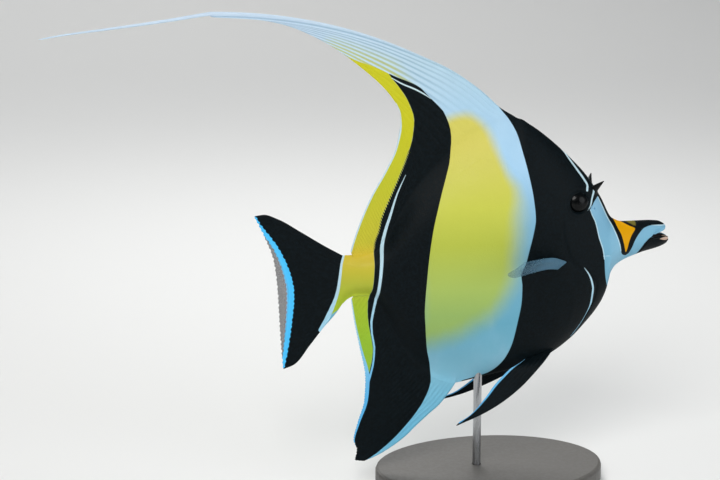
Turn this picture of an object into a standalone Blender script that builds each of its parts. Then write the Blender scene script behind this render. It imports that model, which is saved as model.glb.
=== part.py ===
"""Moorish idol fish, still and life size, on a plain display stand.

Metres, Z up. The head faces +X and the fish's left side faces +Y. The stand rests on Z = 0,
and the origin is midway between the lower jaw's tip and the dorsal thread's tip.
"""
import math

import bmesh
import bpy
import numpy as np
from mathutils import Matrix, Vector

OBJECT_NAME = "moorish_idol"

# Driving sizes
GAP = 0.0003
JAW_TIP_X = 0.1425
THREAD_TIP_X = -0.1425
STEM_X = 0.004
STREAMER_X = -0.003
CAUDAL_ROOT_X = -0.012
SNOUT_X = 0.116
UPPER_LIP_X = 0.1407
JAW_HINGE_X = 0.1275
EDGE_HALF_WIDTH = 0.0006

# Head details, places as (x, z)
EYE_PLACE = (0.0955, 0.1345)
EYE_RADIUS = 0.0054
EYE_DEPTH = 0.0026
HORN_ROOT = (0.1033, 0.1388)
HORN_LENGTH = 0.0088
HORN_LEAN = (0.383, -0.617, 0.686)
HORN_FOOT = (0.0020, 0.0018)
HORN_RINGS = [(0.25, 0.0015), (0.5, 0.0011), (0.75, 0.0007), (1.0, 0.0002)]
HORN_SIDES = 12
NOSTRILS = [(0.1022, 0.1322, 0.00055), (0.1040, 0.1313, 0.00042)]
LIP_START_X = 0.1325
LIP_SWELL = 0.30
TOOTH_LENGTH = 0.0021
TOOTH_RADIUS = 0.00027
TOOTH_TURNS = 0.65
UPPER_TEETH = [6, 0.1397, 0.0017, 0.1201, (0.35, 0, -0.94)]
LOWER_TEETH = [7, 0.1405, 0.0016, 0.1134, (0.45, 0, 0.89)]

# Fins: half thickness of the membrane, and of a ray at its root and at its tip
MEMBRANE = 0.00026
RAY_ROOT = 0.00052
RAY_TIP = 0.00034
PAIRED_RAY_ROOT = 0.00062
RAY_TIP_REACH = 0.0005
SAIL_RAYS = 9
SAIL_SWELLS = [(0.07, 0.05, -0.0016), (0.25, 0.08, 0.0008)]
SOFT_DORSAL_RAYS = 22
ANAL_RAYS = 24
CAUDAL_RAYS = 16
PECTORAL_RAYS = 12
PELVIC_RAYS = 6

# Stand
BASE_THICKNESS = 0.009
BASE_LENGTH = 0.108
BASE_WIDTH = 0.076
BASE_X = 0.058
ROD_X = 0.052
ROD_RADIUS = 0.0019
ROD_SEAT = 0.006

# Body outlines from the side, (x, z) from the tail's root to the mouth
BACK = [(-0.012, 0.1134), (-0.005, 0.1133), (0.002, 0.115), (0.008, 0.1215), (0.014, 0.133),
        (0.022, 0.147), (0.030, 0.1565), (0.040, 0.1645), (0.051, 0.1705), (0.063, 0.1739),
        (0.070, 0.1728), (0.074, 0.1704), (0.0792, 0.1668), (0.0961, 0.1518), (0.1035, 0.1434), (0.1086, 0.1356),
        (0.1148, 0.125), (0.1197, 0.1233), (0.1308, 0.1233), (0.1365, 0.1229), (0.1407, 0.1209),
        (JAW_TIP_X, 0.120)]
BELLY = [(-0.012, 0.0906), (-0.009, 0.0931), (-0.006, 0.0941), (-0.001, 0.0939), (0.004, 0.0902),
         (0.009, 0.082), (0.0135, 0.073), (0.0185, 0.065), (0.0245, 0.058), (0.033, 0.052),
         (0.0415, 0.0498), (0.046, 0.0505), (0.0579, 0.0528), (0.076, 0.0564), (0.0867, 0.0614), (0.0962, 0.0682),
         (0.1033, 0.0756), (0.1085, 0.0821), (0.1117, 0.0882), (0.1135, 0.097), (0.1175, 0.1029),
         (0.128, 0.1076), (0.1397, 0.1109), (JAW_TIP_X, 0.1126)]

# How round a section is: the power of its bulge, and the greatest half width along the body
ROUNDNESS = 0.72
GIRTH = [(-0.012, 0.0020), (-0.006, 0.0032), (0.004, 0.0052), (0.020, 0.0085), (0.040, 0.0115),
         (0.060, 0.0130), (0.085, 0.0130), (0.095, 0.0121), (0.104, 0.0103), (0.110, 0.0088),
         (0.116, 0.0072), (0.125, 0.0052), (0.133, 0.0043), (0.138, 0.0036), (0.1412, 0.0024),
         (JAW_TIP_X, 0.0013)]

# Rear edge of the gill cover, (height from -1 at the belly to 1 at the back, x)
GILL_EDGE = [(-1.0, 0.094), (-0.86, 0.1005), (-0.65, 0.1045), (-0.42, 0.105), (-0.22, 0.101),
             (-0.08, 0.094), (0.05, 0.0895), (0.3, 0.087), (0.6, 0.087), (1.0, 0.0885)]

# Mouth, (x, z): underside of the upper jaw, and top of the lower jaw
UPPER_JAW_EDGE = [(SNOUT_X, 0.1014), (0.122, 0.1048), (0.1262, 0.1072), (0.128, 0.1097),
                  (0.1303, 0.1130), (0.1325, 0.1157), (0.135, 0.1175), (0.1395, 0.119),
                  (0.1407, 0.1195)]
LOWER_JAW_EDGE = [(0.1275, 0.1083), (0.1305, 0.1124), (0.1328, 0.1148), (0.1353, 0.1159),
                  (0.1385, 0.1150), (JAW_TIP_X, 0.1134)]


def clear_scene():
    """Remove whatever the scene holds."""
    for thing in list(bpy.data.objects):
        bpy.data.objects.remove(thing, do_unlink=True)


def new_collection(name):
    """A collection linked to the scene."""
    group = bpy.data.collections.new(name)
    bpy.context.scene.collection.children.link(group)
    return group


def new_material(name, colour, roughness, metallic=0.0):
    """A Principled material of one colour."""
    material = bpy.data.materials.new(name)
    material.use_nodes = True
    shader = material.node_tree.nodes["Principled BSDF"]
    shader.inputs["Base Color"].default_value = (*colour, 1.0)
    shader.inputs["Roughness"].default_value = roughness
    shader.inputs["Metallic"].default_value = metallic
    return material


def through(knots, x):
    """Value at x on a smooth curve through the knots that never overshoots them."""
    places, values = np.array(knots, float).T
    steps = np.diff(places)
    rises = np.diff(values) / steps
    slopes = np.concatenate(([rises[0]], np.zeros(len(rises) - 1), [rises[-1]]))
    for k in range(1, len(rises)):
        if rises[k - 1] * rises[k] > 0:
            weight_a = 2 * steps[k] + steps[k - 1]
            weight_b = steps[k] + 2 * steps[k - 1]
            slopes[k] = (weight_a + weight_b) / (weight_a / rises[k - 1] + weight_b / rises[k])
    x = np.asarray(x, float)
    k = np.clip(np.searchsorted(places, x) - 1, 0, len(steps) - 1)
    s = (x - places[k]) / steps[k]
    start = values[k] * (1 + 2 * s) * (1 - s) ** 2 + slopes[k] * steps[k] * s * (1 - s) ** 2
    end = values[k + 1] * s ** 2 * (3 - 2 * s) + slopes[k + 1] * steps[k] * s ** 2 * (s - 1)
    return start + end


def along(points, shares):
    """Points at the given shares of a smooth line's length."""
    points = np.array(points, float)
    travelled = np.concatenate(([0], np.cumsum(np.linalg.norm(np.diff(points, axis=0), axis=1))))
    travelled /= travelled[-1]
    columns = [through(list(zip(travelled, column)), shares) for column in points.T]
    return np.stack(columns, axis=-1)


def spread(base, tip, front, rear, shares, steps):
    """Grid of points inside four edge lines, as rows from base to tip."""
    base_line, tip_line = along(base, shares), along(tip, shares)
    front_line, rear_line = along(front, steps), along(rear, steps)
    u = np.asarray(shares)[None, :, None]
    w = np.asarray(steps)[:, None, None]
    across = (1 - u) * front_line[:, None] + u * rear_line[:, None]
    outward = (1 - w) * base_line[None] + w * tip_line[None]
    corners = ((1 - w) * ((1 - u) * base_line[0] + u * base_line[-1])
               + w * ((1 - u) * tip_line[0] + u * tip_line[-1]))
    return across + outward - corners


def fan(base, bend, tip, shares, steps):
    """Grid of points along rays that each bend towards a place on a third line."""
    starts, middles, ends = along(base, shares), along(bend, shares), along(tip, shares)
    w = np.asarray(steps)[:, None, None]
    return (1 - w) ** 2 * starts + 2 * w * (1 - w) * middles + w ** 2 * ends


def show(name, mesh, material, group):
    """An object for a mesh, in its collection and with its material."""
    thing = bpy.data.objects.new(name, mesh)
    group.objects.link(thing)
    mesh.materials.clear()
    mesh.materials.append(material)
    mesh.shade_smooth()
    mesh.set_sharp_from_angle(angle=math.radians(40))
    return thing


def two_sided(name, right, left, material, group):
    """A closed solid between two grids, split into triangles alike on both faces."""
    rows, columns, _ = right.shape
    count = rows * columns
    faces = []
    for i in range(rows - 1):
        for j in range(columns - 1):
            a = i * columns + j
            b, c, d = a + columns, a + columns + 1, a + 1
            for corners in ((a, b, c), (a, c, d)):
                faces.append(corners)
                faces.append(tuple(count + k for k in reversed(corners)))
    rim = [j for j in range(columns)]
    rim += [i * columns + columns - 1 for i in range(1, rows)]
    rim += [(rows - 1) * columns + j for j in range(columns - 2, -1, -1)]
    rim += [i * columns for i in range(rows - 2, 0, -1)]
    for p, q in zip(rim, rim[1:] + rim[:1]):
        faces.append((p, q, q + count, p + count))
    mesh = bpy.data.meshes.new(name)
    points = np.concatenate((right.reshape(-1, 3), left.reshape(-1, 3)))
    mesh.from_pydata(points.tolist(), [], faces)
    turn_faces_out(mesh)
    return show(name, mesh, material, group)


def turn_faces_out(mesh):
    """Point every face of a closed mesh outward."""
    work = bmesh.new()
    work.from_mesh(mesh)
    bmesh.ops.recalc_face_normals(work, faces=work.faces)
    work.to_mesh(mesh)
    work.free()


def back(x):
    return through(BACK, x)


def belly(x):
    return through(BELLY, x)


def bulge(height):
    """Share of the girth at a height from -1 to 1."""
    return np.clip(1 - height ** 2, 0, 1) ** ROUNDNESS


def half_width(x, z):
    """Half width of the body at a place seen from the side."""
    middle = (back(x) + belly(x)) / 2
    half = (back(x) - belly(x)) / 2
    return np.hypot(EDGE_HALF_WIDTH, through(GIRTH, x) * bulge((z - middle) / half))


def levels(count):
    """Heights from -1 to 1, closer together at both ends."""
    return -np.cos(np.linspace(0, math.pi, count))


def lip(x, height, edge):
    """How much wider a jaw is at its lip, which runs along height 1 or -1."""
    near = np.clip((x - LIP_START_X) / 0.003, 0, 1)
    roll = np.exp(-((height - 0.82 * edge) / 0.13) ** 2)
    groove = np.exp(-((height - 0.48 * edge) / 0.12) ** 2)
    return 1 + LIP_SWELL * near * (roll - 0.4 * groove)


def loft(name, x, height, low, high, material, group, lip_edge=0):
    """A closed length of the body, mirrored about the middle plane."""
    z = (low + high) / 2 + (high - low) / 2 * height
    girth = through(GIRTH, x) * bulge(height)
    if lip_edge:
        girth = girth * lip(x, height, lip_edge)
    y = np.hypot(EDGE_HALF_WIDTH, girth)
    right = np.stack((x, -y, z), axis=-1)
    left = np.stack((x, y, z), axis=-1)
    return two_sided(name, right, left, material, group)


def body_length(name, start, end, stations, material, group):
    """The body from one line x(height) to another."""
    height = levels(21)
    share = np.linspace(0, 1, stations)[:, None]
    x = start(height) * (1 - share) + end(height) * share
    height = np.broadcast_to(height, x.shape)
    return loft(name, x, height, belly(x), back(x), material, group)


def make_body(group):
    """Tail stem, trunk and head, parted by gaps, and the jaws."""
    black = new_material("head_skin", (0.012, 0.014, 0.015), 0.45)
    pale = new_material("trunk_skin", (0.62, 0.60, 0.25), 0.45)
    yellow = new_material("tail_stem_skin", (0.55, 0.42, 0.05), 0.45)
    orange = new_material("snout_skin", (0.75, 0.32, 0.02), 0.4)
    jaw_black = new_material("lower_jaw_skin", (0.012, 0.012, 0.014), 0.4)
    slant = GAP * 0.7

    body_length("tail_stem", lambda h: CAUDAL_ROOT_X + 0 * h, lambda h: STEM_X - GAP / 2 + 0 * h,
                6, yellow, group)
    body_length("trunk", lambda h: STEM_X + GAP / 2 + 0 * h,
                lambda h: through(GILL_EDGE, h) - slant, 26, pale, group)
    head = body_length("head", lambda h: through(GILL_EDGE, h) + slant,
                       lambda h: SNOUT_X - GAP / 2 + 0 * h, 16, black, group)

    height = levels(17)
    x = np.linspace(SNOUT_X + GAP / 2, UPPER_LIP_X, 15)[:, None] + 0 * height
    upper = loft("snout", x, height + 0 * x, through(UPPER_JAW_EDGE, x), back(x), orange, group,
                 lip_edge=-1)
    x = np.linspace(JAW_HINGE_X, JAW_TIP_X, 10)[:, None] + 0 * height
    lower = loft("lower_jaw", x, height + 0 * x, belly(x), through(LOWER_JAW_EDGE, x), jaw_black,
                 group, lip_edge=1)
    fuse(upper, tooth_row(*UPPER_TEETH))
    fuse(lower, tooth_row(*LOWER_TEETH))
    return head


def tooth_row(count, front_x, radius, z, direction):
    """Teeth set on an arc across the front of a jaw."""
    return [tooth((front_x - radius * (1 - math.cos(turn)), radius * math.sin(turn), z), direction)
            for turn in np.linspace(-TOOTH_TURNS, TOOTH_TURNS, count)]


def tooth(root, direction):
    """A thin tapered tooth's mesh, its root at a place and its tip along a direction."""
    mesh = bpy.data.meshes.new("tooth")
    work = bmesh.new()
    bmesh.ops.create_cone(work, cap_ends=True, segments=5, radius1=TOOTH_RADIUS,
                          radius2=TOOTH_RADIUS * 0.45, depth=TOOTH_LENGTH)
    bmesh.ops.translate(work, verts=work.verts, vec=(0, 0, TOOTH_LENGTH / 2))
    turn = Vector((0, 0, 1)).rotation_difference(Vector(direction)).to_matrix().to_4x4()
    work.transform(Matrix.Translation(root) @ turn)
    work.to_mesh(mesh)
    work.free()
    return mesh


def fuse(target, meshes):
    """Join closed meshes to an object with one Boolean union, and apply it."""
    pieces = bpy.data.collections.new("pieces")
    for mesh in meshes:
        pieces.objects.link(bpy.data.objects.new(mesh.name, mesh))
    step = target.modifiers.new("fused", "BOOLEAN")
    step.operation = "UNION"
    step.solver = "EXACT"
    step.operand_type = "COLLECTION"
    step.collection = pieces
    graph = bpy.context.evaluated_depsgraph_get()
    result = bpy.data.meshes.new_from_object(target.evaluated_get(graph))
    target.modifiers.clear()
    target.data = result
    for piece in list(pieces.objects):
        bpy.data.objects.remove(piece)
    bpy.data.collections.remove(pieces)


def outline_points(outline, start_x, end_x, lift):
    """Points along the back or belly from one x to another, lifted off the skin."""
    x = np.linspace(start_x, end_x, 60)
    z = outline(x)
    tangent = np.stack((np.gradient(x), np.gradient(z)), axis=-1)
    tangent /= np.linalg.norm(tangent, axis=1)[:, None]
    outward = np.stack((tangent[:, 1], -tangent[:, 0]), axis=-1)
    if outline is belly:
        outward = -outward
    if start_x < end_x:
        outward = -outward
    return np.stack((x, z), axis=-1) + outward * lift


def upright_fin(name, grid, thickness, material, group):
    """A fin on the middle plane from a grid of (x, z) and its half thickness."""
    right = np.stack((grid[..., 0], -thickness, grid[..., 1]), axis=-1)
    left = right * (1, -1, 1)
    return two_sided(name, right, left, material, group)


def ray_columns(rays):
    """Shares across a fin, with a ray's crest on every other one, and the crests' heights."""
    shares = np.linspace(0, 1, 2 * rays + 1)
    return shares, np.arange(2 * rays + 1) % 2


def ridged(steps, crests, root=RAY_ROOT):
    """Half thickness of a fin whose rays stand out of its membrane, thinner to the tip."""
    steps = np.asarray(steps)[:, None]
    ray = root + (RAY_TIP - root) * steps ** 0.7
    between = MEMBRANE + (root - MEMBRANE) * np.clip(1 - steps / 0.12, 0, 1)
    return between + (ray - between) * crests[None, :]


def ray_tips(grid, crests):
    """Reach the ray tips a little past the membrane."""
    outward = grid[-1] - grid[-2]
    outward = outward / np.linalg.norm(outward, axis=-1)[:, None]
    grid[-1] += outward * (RAY_TIP_REACH * crests)[:, None]
    return grid


def sail_columns():
    """Columns of the sail: its front spine, then rays set apart, each a crest with two feet."""
    shares, crests = [0.0, 0.016, 0.03], [0.4, 1.0, 0.0]
    for centre in np.linspace(0.10, 0.94, SAIL_RAYS):
        shares += [centre - 0.012, centre, centre + 0.012]
        crests += [0.0, 1.0, 0.0]
    return np.array(shares + [1.0]), np.array(crests + [0.5])


def make_dorsal(group, cutters):
    """The swept-back sail, the rear strip and the long thread."""
    white = new_material("dorsal_fin_skin", (0.72, 0.80, 0.88), 0.5)
    dark = new_material("dorsal_fin_soft_skin", (0.014, 0.017, 0.018), 0.5)
    pale = new_material("dorsal_filament_skin", (0.75, 0.80, 0.84), 0.5)

    split_root_x, split_tip = 0.0227, (0.0146, 0.1720)
    base = outline_points(back, 0.0688, split_root_x, GAP)
    bend = [(0.009, 0.2231), (0.0185, 0.2000), (0.0235, 0.1780), (0.0187, 0.1600)]
    tip = [(-0.0693, 0.2241), (-0.0695, 0.2224), (-0.0521, 0.2207), (-0.0391, 0.2182),
           (-0.0215, 0.2108), (-0.0038, 0.1985), (0.0107, 0.1851), (0.0143, 0.1785), split_tip]
    shares, crests = sail_columns()
    steps = np.linspace(0, 1, 14)
    grid = fan(base, bend, tip, shares, steps)
    rise = sum(height * np.exp(-((steps - centre) / width) ** 2) for centre, width, height in SAIL_SWELLS)
    rise[0] = 0
    grid[..., 1] += np.outer(rise, (1 - shares) ** 2)
    sail = upright_fin("dorsal_fin", grid, ridged(steps, crests), white, group)
    streamer = upright_fin("dorsal_streamer", grid, ridged(steps, crests), white, group)
    cut(sail, block("behind_sail", STREAMER_X + GAP / 2 - 0.1, STREAMER_X + GAP / 2), cutters)
    cut(streamer, block("before_streamer", STREAMER_X - GAP / 2, STREAMER_X - GAP / 2 + 0.1),
        cutters)

    shift = np.array((-GAP, -GAP / 3))
    base = outline_points(back, split_root_x - 0.0005, -0.0074, GAP)
    tip = [np.array(split_tip) + shift, (0.0126, 0.1617), (0.0076, 0.1509), (0.0017, 0.1406),
           (-0.0033, 0.1294), (-0.0069, 0.1190), (-0.0081, 0.1149)]
    shares, crests = ray_columns(SOFT_DORSAL_RAYS)
    steps = np.linspace(0, 1, 6)
    grid = spread(base, tip, [base[0], tip[0]], [base[-1], tip[-1]], shares, steps)
    upright_fin("dorsal_fin_soft", ray_tips(grid, crests), ridged(steps, crests), dark, group)
    make_thread(pale, group)


def block(name, low_x, high_x):
    """A box's mesh that covers the dorsal fin from one x to another."""
    mesh = bpy.data.meshes.new(name)
    work = bmesh.new()
    bmesh.ops.create_cube(work, size=1)
    bmesh.ops.scale(work, verts=work.verts, vec=(high_x - low_x, 0.01, 0.15))
    bmesh.ops.translate(work, verts=work.verts, vec=((low_x + high_x) / 2, 0, 0.2))
    work.to_mesh(mesh)
    work.free()
    return mesh


def make_thread(material, group):
    """The dorsal thread, a flat strand that thins to its tip."""
    shares = np.linspace(0, 1, 16)
    middle = along([(-0.0698, 0.22325), (-0.0908, 0.2203), (-0.1121, 0.2178), (-0.1332, 0.2154),
                    (THREAD_TIP_X, 0.2139)], shares)
    taper = (1 - 0.62 * shares)[:, None]
    x = middle[:, 0][:, None] + np.zeros(3)
    z = middle[:, 1][:, None] + 0.0008 * taper * np.array((-1, 0, 1))
    thickness = 0.0005 * taper ** 0.6 * np.array((0.6, 1, 0.6))
    upright_fin("dorsal_filament", np.stack((x, z), axis=-1), thickness, material, group)


def make_anal(group):
    """The anal fin, swept back to a point under the tail."""
    dark = new_material("anal_fin_skin", (0.014, 0.017, 0.018), 0.5)
    base = outline_points(belly, 0.0415, -0.0070, GAP)
    front = [base[0], (0.0380, 0.0436), (0.0250, 0.0304), (0.0120, 0.0208), (0.0040, 0.0164),
             (-0.0019, 0.0142)]
    tip = [front[-1], (-0.0062, 0.0152), (-0.0053, 0.0200), (-0.0068, 0.0250), (-0.0050, 0.0330),
           (-0.0018, 0.0440), (-0.0013, 0.0540), (-0.0042, 0.0707), (-0.0064, 0.0818),
           (-0.0079, 0.0920)]
    shares, crests = ray_columns(ANAL_RAYS)
    steps = np.linspace(0, 1, 8)
    grid = spread(base, tip, front, [base[-1], tip[-1]], shares, steps)
    upright_fin("anal_fin", grid, ridged(steps, crests), dark, group)


def make_caudal(group):
    """The tail fin, forked a little, with longer corners."""
    dark = new_material("caudal_fin_skin", (0.014, 0.017, 0.020), 0.5)
    root = CAUDAL_ROOT_X - GAP
    base = [(root, 0.1133), (root, 0.0907)]
    top = [base[0], (-0.0198, 0.1180), (-0.0311, 0.1253), (-0.0410, 0.1314), (-0.0474, 0.1337),
           (-0.0516, 0.1332)]
    bottom = [base[1], (-0.0148, 0.0866), (-0.0210, 0.0795), (-0.0269, 0.0720), (-0.0344, 0.0631),
              (-0.0393, 0.0613)]
    tip = [top[-1], (-0.0466, 0.1224), (-0.0430, 0.1120), (-0.0415, 0.0990), (-0.0409, 0.0870),
           (-0.0405, 0.0780), (-0.0399, 0.0690), bottom[-1]]
    shares, crests = ray_columns(CAUDAL_RAYS)
    steps = np.linspace(0, 1, 8)
    grid = spread(base, tip, top, bottom, shares, steps)
    half = ridged(steps, crests)
    half += (0.0013 * np.clip(1 - steps / 0.3, 0, 1) ** 2)[:, None]
    upright_fin("caudal_fin", ray_tips(grid, crests), half, dark, group)


def skin_point(x, z, lift):
    """A point on the right side of the body, lifted off the skin."""
    return np.stack((x, -half_width(x, z) - lift, z), axis=-1)


def paired_fin(name, edges, rays, rows, material, group):
    """A right and a left fin from the base, tip, front and rear lines of the right one."""
    shares, crests = ray_columns(rays)
    steps = np.linspace(0, 1, rows)
    grid = spread(*edges, shares, steps)
    down = np.gradient(grid, axis=0)
    across = np.gradient(grid, axis=1)
    normal = np.cross(down, across)
    normal /= np.linalg.norm(normal, axis=-1)[..., None]
    half = ridged(steps, crests, PAIRED_RAY_ROOT)[..., None]
    upper, lower = grid + normal * half, grid - normal * half
    two_sided(name + "_right", upper, lower, material, group)
    flip = np.array((1, -1, 1))
    two_sided(name + "_left", upper * flip, lower * flip, material, group)


def make_pectorals(group):
    """The fins behind the gills, held out and back."""
    clear = new_material("pectoral_fin_skin", (0.45, 0.58, 0.66), 0.35)
    ends = np.array(((0.0910, 0.1080), (0.0865, 0.1050)))
    base = skin_point(ends[:, 0], ends[:, 1], GAP + 0.0003)
    front = [base[0], (0.0792, -0.0200, 0.1128), (0.0647, -0.0300, 0.1142)]
    rear = [base[1], (0.0780, -0.0170, 0.1066), (0.0626, -0.0220, 0.1049)]
    tip = [front[-1], (0.0595, -0.0330, 0.1118), (0.0570, -0.0300, 0.1090),
           (0.0590, -0.0255, 0.1064), rear[-1]]
    paired_fin("pectoral_fin", (base, tip, front, rear), PECTORAL_RAYS, 7, clear, group)


def make_pelvics(group):
    """The pointed fins under the chest, swept back and out."""
    dark = new_material("pelvic_fin_skin", (0.014, 0.017, 0.018), 0.5)
    ends = np.array(((0.0890, 0.0654), (0.0750, 0.0597)))
    base = skin_point(ends[:, 0], ends[:, 1], GAP + 0.0004)
    front = [base[0], (0.0795, -0.0083, 0.0578), (0.0693, -0.0110, 0.0489),
             (0.0590, -0.0140, 0.0429), (0.0491, -0.0160, 0.0387), (0.0373, -0.0180, 0.0352)]
    rear = [base[1], (0.0664, -0.0078, 0.0582), (0.0605, -0.0095, 0.0540),
            (0.0575, -0.0105, 0.0514), (0.0522, -0.0130, 0.0459), (0.0444, -0.0160, 0.0392),
            (0.0386, -0.0181, 0.0365)]
    tip = [front[-1], rear[-1]]
    paired_fin("pelvic_fin", (base, tip, front, rear), PELVIC_RAYS, 10, dark, group)


def make_eyes(head, group, cutters):
    """Eyeballs in sockets cut into the head."""
    dark = new_material("eye_surface", (0.02, 0.015, 0.012), 0.08)
    x, z = EYE_PLACE
    depth = float(half_width(x, z)) - EYE_DEPTH
    for side, word in ((-1, "right"), (1, "left")):
        ball = sphere("eye_" + word, EYE_RADIUS, 20, 12)
        ball.transform(place(x, side * depth, z, 0.7))
        show("eye_" + word, ball, dark, group)
        socket = sphere("socket_" + word, EYE_RADIUS + GAP, 20, 12)
        socket.transform(place(x, side * depth, z, 0.72))
        cut(head, socket, cutters)
        for k, (hole_x, hole_z, radius) in enumerate(NOSTRILS):
            hole = sphere(f"nostril_{word}_{k}", radius, 10, 6)
            hole.transform(place(hole_x, side * float(half_width(hole_x, hole_z)), hole_z, 1.3))
            cut(head, hole, cutters)


def sphere(name, radius, around, rings):
    """A sphere's mesh, its poles on the Y axis."""
    mesh = bpy.data.meshes.new(name)
    work = bmesh.new()
    bmesh.ops.create_uvsphere(work, u_segments=around, v_segments=rings, radius=radius)
    work.to_mesh(mesh)
    work.free()
    return mesh


def place(x, y, z, flatness):
    """Turn a sphere's poles to the Y axis, flatten it along Y and move it."""
    return (Matrix.Translation((x, y, z)) @ Matrix.Diagonal((1, flatness, 1, 1))
            @ Matrix.Rotation(math.pi / 2, 4, "X"))


def cut(target, mesh, cutters):
    """Take a mesh out of an object with a Boolean."""
    cutter = bpy.data.objects.new(mesh.name, mesh)
    cutters.objects.link(cutter)
    cutter.hide_render = True
    cutter.display_type = "WIRE"
    step = target.modifiers.new(mesh.name, "BOOLEAN")
    step.operation = "DIFFERENCE"
    step.solver = "EXACT"
    step.object = cutter


def make_horns(group):
    """The two short spikes in front of the eyes."""
    black = new_material("horn_surface", (0.012, 0.012, 0.013), 0.35)
    lean = np.array(HORN_LEAN) / np.linalg.norm(HORN_LEAN)
    across = np.cross((0, 1, 0), lean)
    across /= np.linalg.norm(across)
    upward = np.cross(lean, across)
    turns = np.linspace(0, 2 * math.pi, HORN_SIDES, endpoint=False)
    foot = skin_point(HORN_ROOT[0] + HORN_FOOT[0] * np.cos(turns),
                      HORN_ROOT[1] + HORN_FOOT[1] * np.sin(turns), GAP)
    centre = foot.mean(axis=0)
    rings = [foot]
    for share, radius in HORN_RINGS:
        offsets = np.outer(np.cos(turns), across) + np.outer(np.sin(turns), upward)
        rings.append(centre + lean * HORN_LENGTH * share + offsets * radius)
    points = np.concatenate(rings)
    for side, word in ((1, "right"), (-1, "left")):
        mesh = bpy.data.meshes.new("horn_" + word)
        faces = [tuple(range(HORN_SIDES)), tuple(range(len(points) - HORN_SIDES, len(points)))]
        for k in range(len(rings) - 1):
            for i in range(HORN_SIDES):
                a, b = HORN_SIDES * k + i, HORN_SIDES * k + (i + 1) % HORN_SIDES
                faces.append((a, b, b + HORN_SIDES, a + HORN_SIDES))
        mesh.from_pydata((points * (1, side, 1)).tolist(), [], faces)
        turn_faces_out(mesh)
        show("horn_" + word, mesh, black, group)


def cylinder(name, radius, low, high, x, sides):
    """An upright cylinder's mesh."""
    mesh = bpy.data.meshes.new(name)
    work = bmesh.new()
    bmesh.ops.create_cone(work, cap_ends=True, segments=sides, radius1=radius, radius2=radius,
                          depth=high - low)
    bmesh.ops.translate(work, verts=work.verts, vec=(x, 0, (low + high) / 2))
    work.to_mesh(mesh)
    work.free()
    return mesh


def make_stand(trunk, group, cutters):
    """An oval plate and one rod up into the belly."""
    plate_look = new_material("stand_base_surface", (0.30, 0.29, 0.27), 0.5)
    rod_look = new_material("stand_rod_surface", (0.62, 0.62, 0.63), 0.3, 1.0)
    mesh = cylinder("stand_base", BASE_LENGTH / 2, 0, BASE_THICKNESS, 0, 60)
    for corner in mesh.vertices:
        corner.co.y *= BASE_WIDTH / BASE_LENGTH
        corner.co.x += BASE_X
    plate = show("stand_base", mesh, plate_look, group)
    edge = plate.modifiers.new("edge", "BEVEL")
    edge.width = 0.0015
    edge.segments = 2
    edge.limit_method = "ANGLE"
    foot_z = BASE_THICKNESS - ROD_SEAT
    top_z = float(belly(ROD_X)) + ROD_SEAT
    show("stand_rod", cylinder("stand_rod", ROD_RADIUS, foot_z, top_z, ROD_X, 24), rod_look, group)
    cut(plate, cylinder("rod_hole", ROD_RADIUS + GAP, foot_z - GAP, 0.020, ROD_X, 24), cutters)
    cut(trunk, cylinder("rod_socket", ROD_RADIUS + GAP, 0.040, top_z + GAP, ROD_X, 24), cutters)


def main():
    clear_scene()
    group = new_collection(OBJECT_NAME)
    cutters = new_collection("cutters")
    head = make_body(group)
    make_dorsal(group, cutters)
    make_anal(group)
    make_caudal(group)
    make_pectorals(group)
    make_pelvics(group)
    make_eyes(head, group, cutters)
    make_horns(group)
    make_stand(group.objects["trunk"], group, cutters)


main()
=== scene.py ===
"""Moorish idol fish: its skin, eyes, horns and teeth, the stand's finish, the light and the camera.

Sizes here are in millimetres, Z up, and become metres where a mesh is made. The head faces +X
and the fish's right side faces the camera. Fins and body are one closed skin, built as a right
and a left sheet of grids in (x, z), each point set out from the middle plane by a half width.
"""
import math

import bmesh
import bpy
import numpy as np
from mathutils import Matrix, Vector


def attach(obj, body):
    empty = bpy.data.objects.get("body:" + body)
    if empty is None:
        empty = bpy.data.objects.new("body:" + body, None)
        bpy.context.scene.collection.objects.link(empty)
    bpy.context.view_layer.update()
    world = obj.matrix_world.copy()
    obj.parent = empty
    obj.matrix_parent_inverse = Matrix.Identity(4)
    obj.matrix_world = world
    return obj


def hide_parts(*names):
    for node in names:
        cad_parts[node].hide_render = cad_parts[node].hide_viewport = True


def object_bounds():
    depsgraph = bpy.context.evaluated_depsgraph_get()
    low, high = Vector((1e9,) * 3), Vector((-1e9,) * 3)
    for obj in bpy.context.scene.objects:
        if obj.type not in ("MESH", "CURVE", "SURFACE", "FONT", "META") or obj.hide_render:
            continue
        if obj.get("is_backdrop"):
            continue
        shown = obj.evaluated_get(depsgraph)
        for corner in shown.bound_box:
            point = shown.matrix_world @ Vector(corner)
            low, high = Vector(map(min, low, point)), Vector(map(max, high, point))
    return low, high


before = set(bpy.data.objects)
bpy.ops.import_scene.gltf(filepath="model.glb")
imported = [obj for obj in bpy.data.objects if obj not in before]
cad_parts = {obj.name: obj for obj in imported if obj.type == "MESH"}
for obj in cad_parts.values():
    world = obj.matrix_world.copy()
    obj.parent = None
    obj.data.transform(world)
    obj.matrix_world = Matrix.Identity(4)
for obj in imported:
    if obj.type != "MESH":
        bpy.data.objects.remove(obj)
CAD_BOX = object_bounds()
MM = 0.001

# Camera, at the photograph's viewing angle
TARGET = (-3.8, 0.0, 120.1)
AZIMUTH = math.radians(-11)
ELEVATION = math.radians(14)
DISTANCE = 800
LENS = 88.9
SENSOR = 36

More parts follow.
